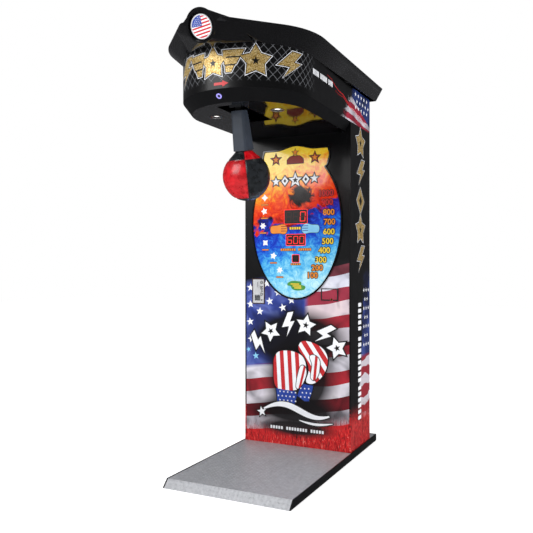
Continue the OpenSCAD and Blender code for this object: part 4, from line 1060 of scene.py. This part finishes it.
class PUNCH_OT_display(bpy.types.Operator):
    """Print the scale, windows, stars and fists on the display"""
    bl_idname = "punch.display"
    bl_label = "Display print"

    def execute(self, context):
        scale = (("1000", 0.180, 1.449, "red"), ("900", 0.189, 1.399, "red"),
            ("800", 0.198, 1.344, "orange"), ("700", 0.202, 1.291, "orange"),
            ("600", 0.199, 1.237, "yellow"), ("500", 0.192, 1.185, "yellow"),
            ("400", 0.172, 1.135, "yellow"), ("300", 0.151, 1.083, "yellow"),
            ("200", 0.130, 1.039, "orange"), ("100", 0.100, 0.997, "orange"))
        numerals = [(figure, u, v, 0.045) for figure, u, v, tone in scale]
        big_stars = [star(-0.122, 1.654, 0.032), star(0.116, 1.652, 0.032)]
        plate = [(-0.052, 1.626), (0.047, 1.626), (0.047, 1.648), (0.03, 1.664), (0.016, 1.668),
            (-0.02, 1.668), (-0.036, 1.664), (-0.052, 1.648)]
        small_star = star(-0.003, 1.688, 0.018)
        # Title row: stars and diamonds in white with dark edges.
        title = [star(-0.122, 1.529, 0.026), diamond(-0.066, 1.531, 0.022, 0.027),
            star(-0.002, 1.532, 0.043), diamond(0.062, 1.534, 0.022, 0.027),
            star(0.113, 1.536, 0.026)]
        holes = [diamond(-0.066, 1.531, 0.009, 0.011), diamond(0.062, 1.534, 0.009, 0.011),
            star(-0.002, 1.532, 0.019)]
        icons = ((-0.193, 1.441), (-0.196, 1.364), (-0.205, 1.28), (-0.189, 1.183), (-0.138, 1.108),
            (-0.098, 1.027))
        marks, bars = [], []
        for i, (u, v) in enumerate(icons):
            marks.append([star(u, v, 0.021, i * 15, 0.55, 4 + i % 3)])
            bars.append([panel(u - 0.021, v - 0.043, u + 0.021, v - 0.037, 0.002)])
        fists = []
        for side, u in ((1, -0.102), (-1, 0.088)):
            points = [(-0.048, -0.02), (-0.05, 0.016), (-0.01, 0.022), (0.02, 0.028), (0.042, 0.02),
                (0.05, -0.004), (0.036, -0.026), (0.0, -0.022)]
            fists.append(round_loop([(u + side * a, 1.258 + b) for a, b in points]))
        knuckles = [[panel(low, 1.246 + k * 0.013, low + 0.034, 1.25 + k * 0.013, 0.001)]
            for low in (-0.09, 0.042) for k in range(3)]
        windows = [(0.0, 1.327, 0.144, 0.083), (0.0, 1.197, 0.120, 0.066),
            (0.0, 1.092, 0.046, 0.046)]
        frames, glass = [], []
        for u, v, w, h in windows:
            pane = panel(u - w / 2, v - h / 2, u + w / 2, v + h / 2, 0.004)
            w, h = w - 0.006, h - 0.006
            frames.append([pane, panel(u - w / 2, v - h / 2, u + w / 2, v + h / 2, 0.003)])
            glass.append([pane])
        # Two dark figures and a lit nought above, a lit record below, and a dark credit figure. The
        # dark segments carry a faint painted glow.
        big, small = (1.2995, 0.033, 0.055), (1.175, 0.028, 0.043)
        lit, dim = [], digit("8", -0.061, *big) + digit("8", -0.018, *big)
        for figure, at in (("0", (0.025, *big)), ("6", (-0.052, *small)), ("0", (-0.015, *small)),
                ("0", (0.022, *small))):
            lit += digit(figure, *at)
            dim += digit(figure, *at, False)
        dim += digit("8", -0.008, 1.08, 0.015, 0.024)
        labels = dashes(-0.036, 1.255, 0.014, 0.01, 0.014, 0.002, 5)
        wide_labels = dashes(-0.092, 1.136, 0.0135, 0.0098, 0.013, 0.002, 14, (7,))
        wide_labels += dashes(-0.03, 1.056, 0.0125, 0.009, 0.009, 0.001, 5)
        badge = [[round_loop([(-0.046, 0.955), (-0.02, 0.966), (0.03, 0.962), (0.036, 0.945),
            (0.058, 0.936), (0.05, 0.918), (0.01, 0.913), (-0.02, 0.92), (-0.03, 0.936),
            (-0.05, 0.942)])]]
        badge_bars = [[panel(-0.03, 0.946, 0.022, 0.952, 0.002)],
            [panel(-0.018, 0.935, 0.034, 0.941, 0.002)], [panel(-0.008, 0.924, 0.036, 0.93, 0.002)]]
        bases = [shape[0] for shape in bars + labels + wide_labels]
        dark = [[grow(loop, edge)] for edge, loops in ((0.004, big_stars),
            (0.003, [small_star, plate]), (0.006, title), (0.002, bases), (0.003, fists))
            for loop in loops]
        layers = [
            ("black", dark), ("black", numerals, 0.0038), ("dim", glass), ("segment", frames),
            ("dull_segment", dim), ("segment", lit),
            ("maroon", [[loop] for loop in big_stars] + [[plate]]),
            ("orange", [[star(-0.122, 1.654, 0.019)], [star(0.116, 1.652, 0.019)], [small_star]]),
            ("white", [[loop] for loop in title] + marks), ("black", [[loop] for loop in holes]),
            ("orange", [[fists[0]]] + bars + wide_labels), ("pale_blue", [[fists[1]]]),
            ("maroon", knuckles[:3]), ("blue", knuckles[3:]), ("yellow", labels),
            ("green", badge), ("yellow", badge_bars)]
        for tone in ("red", "orange", "yellow"):
            layers.append((tone, [n for n, s in zip(numerals, scale) if s[3] == tone]))
        print_on("display_ink", layers, on_lens)
        return {"FINISHED"}


GOLD_SHAPES = ((-64, "diamond"), (-40, "bolt"), (-3, "wings"), (32, "star"), (60, "bolt"))


def gold_shape(kind, u, v, w, h):
    """One of the plain gold shapes, as separate parts, each an outline with its holes."""
    if kind == "star":
        return [[star(u, v, h * 0.6, 0, 0.56), star(u, v, h * 0.17)]]
    if kind == "bolt":
        return [[bolt(u, v, w * 1.2, h)]]
    if kind == "diamond":
        return [[diamond(u, v, w * 0.48, h * 0.52), diamond(u, v, w * 0.2, h * 0.22)]]
    parts = [[star(u, v, h * 0.6, 0, 0.56), star(u, v, h * 0.17)]]
    for side in (1, -1):
        for i, reach in enumerate((0.5, 0.43, 0.35)):
            top = v + h * (0.42 - 0.29 * i)
            inner, outer = w * (0.17 + 0.02 * i), w * reach
            parts.append([[(u + side * inner, top), (u + side * outer, top),
                (u + side * (outer - w * 0.05), top - h * 0.235),
                (u + side * (inner + w * 0.01), top - h * 0.235)]])
    return parts


def gold_layers(shapes):
    """White edge, black line and gold face of each shape."""
    parts = [part for shape in shapes for part in gold_shape(*shape)]
    return [("white", [[grow(p[0], 0.006)] for p in parts]),
        ("black", [[grow(p[0], 0.0035)] for p in parts]), ("gold", parts)]


class PUNCH_OT_band(bpy.types.Operator):
    """Print the gold shapes, arrow, marks and flag stars round the head"""
    bl_idname = "punch.band"
    bl_label = "Head print"

    def execute(self, context):
        rad = BAND_R * math.pi / 180
        wide = {"wings": 52, "bolt": 25, "star": 25, "diamond": 22}
        gold = gold_layers([(kind, angle * rad, 1.945, wide[kind] * rad, 0.118) for angle,
            kind in GOLD_SHAPES])
        arrow_u, arrow_v = 4 * rad, 1.851
        arrow = [[(arrow_u - 0.034, arrow_v - 0.006), (arrow_u + 0.008, arrow_v - 0.006),
            (arrow_u + 0.008, arrow_v - 0.014), (arrow_u + 0.036, arrow_v),
            (arrow_u + 0.008, arrow_v + 0.014), (arrow_u + 0.008, arrow_v + 0.006),
            (arrow_u - 0.034, arrow_v + 0.006)]]
        quarter = BAND_R * math.pi / 2
        marks, stars, scratches = [], [], []
        for side in (1, -1):
            for i in range(17):
                if i in (5, 12):
                    continue
                u = side * (quarter + 0.02 + i * 0.0155)
                marks.append([panel(u - 0.005, 1.945, u + 0.005, 1.972, 0.002)])
            for i in range(5):
                for j in range(3):
                    u = side * (quarter + 0.635 + i * 0.05 + (j % 2) * 0.025)
                    if abs(u) < quarter + 0.88:
                        stars.append([star(u, 1.925 + j * 0.036, 0.0125, 6)])
            line = [(side * (quarter + 0.2 + t * 0.058), 1.99 - t * 0.0125 + 0.006
                * math.sin(t * 1.9)) for t in range(12)]
            scratches.append([ribbon(line, 0.005)])
            scratches.append([ribbon([(u, v - 0.018 - 0.01 * math.cos(u * 9)) for u,
                v in line[2:10]], 0.003)])
        print_on("head_ink", gold + [("red", [arrow] + scratches), ("white", marks + stars)],
            on_band, slices=0.02)
        return {"FINISHED"}


class PUNCH_OT_sides(bpy.types.Operator):
    """Print the gold column, marks and stars on both sides"""
    bl_idname = "punch.sides"
    bl_label = "Side prints"

    def execute(self, context):
        kinds = ("star", "bolt", "diamond", "star", "bolt")
        for name, place, sense in (("right_ink", on_right, 1), ("left_ink", on_left, -1)):
            marks, stars = [], []
            gold = gold_layers([(kind, sense * 0.4585, 1.74 - i * 0.162, 0.13, 0.135) for i,
                kind in enumerate(kinds)])
            for low, count in ((0.69, 5), (0.40, 8), (0.19, 6)):
                for i in range(count):
                    v = low + i * 0.033
                    marks.append([panel(sense * 0.445 - 0.026, v, sense * 0.445 + 0.026, v + 0.021,
                        0.004)])
            for i in range(3):
                for j in range(7):
                    u = 0.52 + i * 0.042 + (j % 2) * 0.02
                    if u < 0.618:
                        stars.append([star(sense * u, 0.6 + j * 0.052, 0.013, 8)])
            print_on(name, gold + [("white", marks + stars)], place)
        return {"FINISHED"}


class PUNCH_OT_badge(bpy.types.Operator):
    """Print the striped badge on the crest"""
    bl_idname = "punch.badge"
    bl_label = "Badge and button"

    def execute(self, context):
        top = max(v.co.dot(BADGE_OUT) for v in NODES["badge_disc"].data.vertices)
        start = BADGE_AT + BADGE_OUT * (top - BADGE_AT.dot(BADGE_OUT))

        def on_badge(u, v, w):
            return start + SIDEWAYS * u + BADGE_UP * v + BADGE_OUT * w

        r = 0.0455
        disc = [(r * math.cos(math.tau * i / 64), r * math.sin(math.tau * i / 64))
            for i in range(64)]
        field = clipped(clipped(disc, lambda p: 0.004 - p[0]), lambda p: p[1] - 0.002)
        at = [(-0.036 + i * 0.0088 + (j % 2) * 0.0044, 0.008 + j * 0.0075) for i in range(5)
            for j in range(5)]
        dots = [[star(u, v, 0.0026)] for u, v in at if math.hypot(u, v) < 0.041 and u < 0.001]
        print_on("badge_ink", [("red", stripes_in(disc, (-0.12, 1.0), -0.045, 0.0134, 0.0067, 7)),
            ("blue", [[field]]), ("white", dots)], on_badge)
        return {"FINISHED"}


def bag_profile(d):
    """Radius of the bag at a distance up its axis from the middle."""
    if d <= SEAM_D:
        return math.sqrt(max(BAG_R ** 2 - d ** 2, 0.0))
    neck = ((SEAM_D, 0.0825), (0.105, 0.059), (0.116, 0.048), (NECK_D, 0.046))
    for (d0, r0), (d1, r1) in zip(neck, neck[1:]):
        if d <= d1:
            return r0 + (r1 - r0) * (d - d0) / (d1 - d0)
    return neck[-1][1]


def bag_point(d, turn, extra=0.0):
    """A point of the bag's skin at a distance up its axis and a turn round it."""
    r = bag_profile(d) + extra
    return BAG_AT + BAG_UP * d + (BAG_SIDE * math.sin(turn) + BAG_OUT * math.cos(turn)) * r


def stitch_tree():
    """Nodes that lay stitches along a line."""
    tree, given = new_group("stitches", {"Line": "Geometry", "Spacing": "Float",
        "Material": "Material"})
    points = add(tree, "GeometryNodeCurveToPoints", {"Curve": given["Line"],
        "Length": given["Spacing"]}, mode="LENGTH")
    ball = add(tree, "GeometryNodeMeshUVSphere", {"Segments": 6, "Rings": 5, "Radius": 1.0})
    long = add(tree, MATH, {0: given["Spacing"], 1: 0.36}, operation="MULTIPLY")
    thick = add(tree, MATH, {0: given["Spacing"], 1: 0.085}, operation="MULTIPLY")
    size = add(tree, "ShaderNodeCombineXYZ", {"X": thick, "Y": thick, "Z": long})
    thread = add(tree, "GeometryNodeTransform", {"Geometry": ball, "Scale": size})
    lay(tree, {"Points": points.outputs["Points"], "Instance": thread,
        "Rotation": points.outputs["Rotation"]}, given["Material"])
    return tree


class PUNCH_OT_bag(bpy.types.Operator):
    """Sew and stuff the red and black bag"""
    bl_idname = "punch.bag"
    bl_label = "Punch bag"

    def execute(self, context):
        bm = bmesh.new()
        around = 56
        heights = [BAG_R * math.sin(math.radians(a)) for a in range(-84, 45, 6)]
        heights += [SEAM_D, 0.094, 0.105, 0.116, NECK_D]
        rings = []
        for d in heights:
            rings.append([bm.verts.new(bag_point(d, math.tau * i / around, -0.003))
                for i in range(around)])
        for low, high in zip(rings, rings[1:]):
            for i in range(around):
                j = (i + 1) % around
                bm.faces.new((low[i], low[j], high[j], high[i]))
        for ring, d in ((rings[0], -BAG_R + 0.003), (rings[-1], 0.1215)):
            pole = bm.verts.new(BAG_AT + BAG_UP * d)
            for i in range(around):
                bm.faces.new((ring[i], ring[(i + 1) % around], pole))
        bmesh.ops.recalc_face_normals(bm, faces=bm.faces)
        obj = as_object("bag", bm)
        remesh = obj.modifiers.new("even", "REMESH")
        remesh.mode = "VOXEL"
        remesh.voxel_size = VOXEL
        even = evaluated(obj)
        bag = bpy.data.objects.new("stuffed_bag", even)
        context.scene.collection.objects.link(bag)
        rest = [v.co.copy() for v in even.vertices]
        cloth = bag.modifiers.new("stuffing", "CLOTH")
        cloth.settings.use_pressure = True
        cloth.settings.uniform_pressure_force = CLOTH_PRESSURE
        cloth.settings.effector_weights.gravity = 0.0
        for number in range(1, CLOTH_FRAMES + 1):
            context.scene.frame_set(number)
        graph = context.evaluated_depsgraph_get()
        swollen = bag.evaluated_get(graph).data
        moved = [v.co.copy() for v in swollen.vertices]
        bag.modifiers.remove(cloth)
        context.scene.frame_set(1)
        for vert, start, end in zip(even.vertices, rest, moved):
            shift = end - start
            if shift.length > CLOTH_REACH:
                shift *= CLOTH_REACH / shift.length
            vert.co = start + shift
        smooth = bag.modifiers.new("smooth", "SUBSURF")
        smooth.levels = smooth.render_levels = 1
        even.materials.clear()
        bm = as_bmesh(evaluated(bag))
        bm.normal_update()
        depth = context.scene.punch_sizes.seam_depth
        shifts = []
        for vert in bm.verts:
            p = vert.co - BAG_AT
            d = p.dot(BAG_UP)
            radius = max((p - BAG_UP * d).length, 1e-6)
            gap = min(abs(p.dot(BAG_SIDE)), abs(p.dot(BAG_OUT)), abs(d - SEAM_D) * 1.1,
                abs(d - LOW_RING_D) * 1.2)
            groove = math.exp(-(gap / 0.0028) ** 2)
            # Leather puckers beside a seam, a wrinkle every 12 mm or so.
            pucker = math.exp(-((gap - 0.008) / 0.006) ** 2) * noise.noise(p * 85)
            dent = noise.noise(p * 14 + Vector((3, 1, 2)))
            limit = bag_profile(min(max(d, -BAG_R + 1e-4), NECK_D)) + 0.002
            move = -depth * groove + 0.0007 * pucker + 0.0012 * dent
            target = vert.co + vert.normal * move
            q = target - BAG_AT
            e = q.dot(BAG_UP)
            flat = q - BAG_UP * e
            if radius > 0.03 and flat.length > limit and d > 0.06:
                target = BAG_AT + BAG_UP * e + flat * (limit / flat.length)
            if e > 0.1225:
                target -= BAG_UP * (e - 0.1225)
            shifts.append(target)
        for vert, target in zip(bm.verts, shifts):
            vert.co = target
        bm.normal_update()
        tree = BVHTree.FromBMesh(bm)
        piece = new_piece("punch_bag_leather", bm, "bag_leather", "punch_arm", 80)
        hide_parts("punch_bag")
        # Lines of stitches on both sides of each seam, laid on the leather by rays to the middle.
        lines = []
        for sign in (1, -1):
            for way, other in ((BAG_SIDE, BAG_OUT), (BAG_OUT, BAG_SIDE)):
                for half in (1, -1):
                    run = []
                    for k in range(-52, 45, 3):
                        a = math.radians(k)
                        run.append(BAG_AT + way * sign * 0.0045 + (other * half * math.cos(a)
                            + BAG_UP * math.sin(a)) * RAY_START)
                    lines.append((run, 0))
            level = SEAM_D + sign * 0.005
            turns = [math.tau * k / 60 for k in range(61)]
            lines.append(([BAG_AT + BAG_UP * level + (BAG_SIDE * math.sin(t)
                + BAG_OUT * math.cos(t)) * RAY_START for t in turns], level))
        stitches = bmesh.new()
        stitch_nodes = stitch_tree()
        for run, level in lines:
            core = BAG_AT + BAG_UP * level
            curve = bpy.data.curves.new("line", "CURVE")
            curve.dimensions = "3D"
            hits = []
            for p in run:
                hit = tree.ray_cast(p, core - p)[0]
                if hit is not None:
                    hits.append(hit + (p - core).normalized() * 0.0003)
            if len(hits) < 3:
                raise RuntimeError("a stitch line missed the bag")
            spline = curve.splines.new("POLY")
            spline.points.add(len(hits) - 1)
            for point, hit in zip(spline.points, hits):
                point.co = (*hit, 1)
            mesh = grown(stitch_nodes, curve, {"Spacing": context.scene.punch_sizes.stitch_spacing,
                "Material": FINISHES["dark_plastic"]})
            stitches.from_mesh(mesh)
            bpy.data.meshes.remove(mesh)
        new_piece("bag_stitches", stitches, "dark_plastic", "punch_arm", 60)
        return {"FINISHED"}


class PUNCH_OT_stage(bpy.types.Operator):
    """Set the floor, the soft lights and the camera"""
    bl_idname = "punch.stage"
    bl_label = "Stage"

    def execute(self, context):
        scene = context.scene
        scene.view_settings.view_transform = "Standard"
        bm = bmesh.new()
        bmesh.ops.create_grid(bm, x_segments=1, y_segments=1, size=FLOOR_HALF)
        # Painted studio floor: matt, with a little light of its own so that it meets the backdrop.
        floor = as_object("floor", bm, [finish("matt_white_floor",
            (linear("#f4f4f4"), linear("#f7f7f7")), (0.85, 0.9), 2.0, 0.0, 500,
            **{"Specular IOR Level": 0.0, "Emission Color": linear("#ffffff"),
            "Emission Strength": 0.46})])
        floor.visible_glossy = False  # the white floor would wash out the gloss black
        world = bpy.data.worlds.new("studio")
        world.use_nodes = True
        tree = world.node_tree
        tree.nodes.clear()
        # White to the eye, grey as light, and dark in reflections so that gloss black stays deep.
        path = add(tree, "ShaderNodeLightPath")
        unlit = add(tree, MIX, {"Factor": path.outputs["Is Glossy Ray"], "A": (0.6, 0.6, 0.61, 1),
            "B": (0.1, 0.1, 0.105, 1)}, data_type="RGBA")
        tone = add(tree, MIX, {"Factor": path.outputs["Is Camera Ray"], "A": unlit,
            "B": (1, 1, 1, 1)}, data_type="RGBA")
        light = add(tree, "ShaderNodeBackground", {"Color": tone, "Strength": 1.0})
        add(tree, "ShaderNodeOutputWorld", {"Surface": light})
        scene.world = world
        for name, at, aim, size, power in (("key", (-1.6, -3.4, 3.2), (0, 0, 1.0), (2.6, 2.6), 95),
                ("side", (4.2, 0.6, 2.4), (0, 0.3, 1.2), (1.4, 2.6), 70),
                ("top", (0, -0.6, 4.8), (0, 0, 0), (3.0, 3.0), 95)):
            lamp = bpy.data.lights.new(name, "AREA")
            lamp.shape = "RECTANGLE"
            lamp.size, lamp.size_y = size
            lamp.energy = power
            obj = bpy.data.objects.new(name, lamp)
            obj.location = at
            obj.visible_glossy = name == "key"  # only the key shows in the gloss black
            obj.rotation_euler = (Vector(aim) - Vector(at)).to_track_quat("-Z", "Y").to_euler()
            scene.collection.objects.link(obj)
        lens = bpy.data.cameras.new("camera")
        lens.lens = CAMERA_LENS
        lens.sensor_width = 36
        camera = bpy.data.objects.new("camera", lens)
        camera.location = CAMERA_AT
        camera.rotation_euler = CAMERA_TURN
        scene.collection.objects.link(camera)
        scene.camera = camera
        return {"FINISHED"}


OPERATORS = (PUNCH_OT_finishes, PUNCH_OT_shells, PUNCH_OT_crest, PUNCH_OT_tread, PUNCH_OT_rivets,
    PUNCH_OT_front, PUNCH_OT_coin, PUNCH_OT_display, PUNCH_OT_band, PUNCH_OT_sides, PUNCH_OT_badge,
    PUNCH_OT_bag, PUNCH_OT_stage)


class PUNCH_PT_panel(bpy.types.Panel):
    """Lists the pieces of the machine and their settings"""
    bl_idname = "PUNCH_PT_panel"
    bl_label = "Boxing punch machine"
    bl_space_type = "VIEW_3D"
    bl_region_type = "UI"
    bl_category = "Punch"

    def draw(self, context):
        for group in (context.scene.punch_sizes, context.scene.punch_colours):
            for name in group.__annotations__:
                self.layout.prop(group, name)
        for operator in OPERATORS:
            self.layout.operator(operator.bl_idname)


CLASSES = (PunchSizes, PunchColours, *OPERATORS, PUNCH_PT_panel)


def register():
    for kind in CLASSES:
        bpy.utils.register_class(kind)
    bpy.types.Scene.punch_sizes = bpy.props.PointerProperty(type=PunchSizes)
    bpy.types.Scene.punch_colours = bpy.props.PointerProperty(type=PunchColours)


def unregister():
    del bpy.types.Scene.punch_colours
    del bpy.types.Scene.punch_sizes
    for kind in reversed(CLASSES):
        bpy.utils.unregister_class(kind)


def main():
    register()
    for operator in OPERATORS:
        group, name = operator.bl_idname.split(".")
        getattr(getattr(bpy.ops, group), name)()


if __name__ == "__main__":
    main()
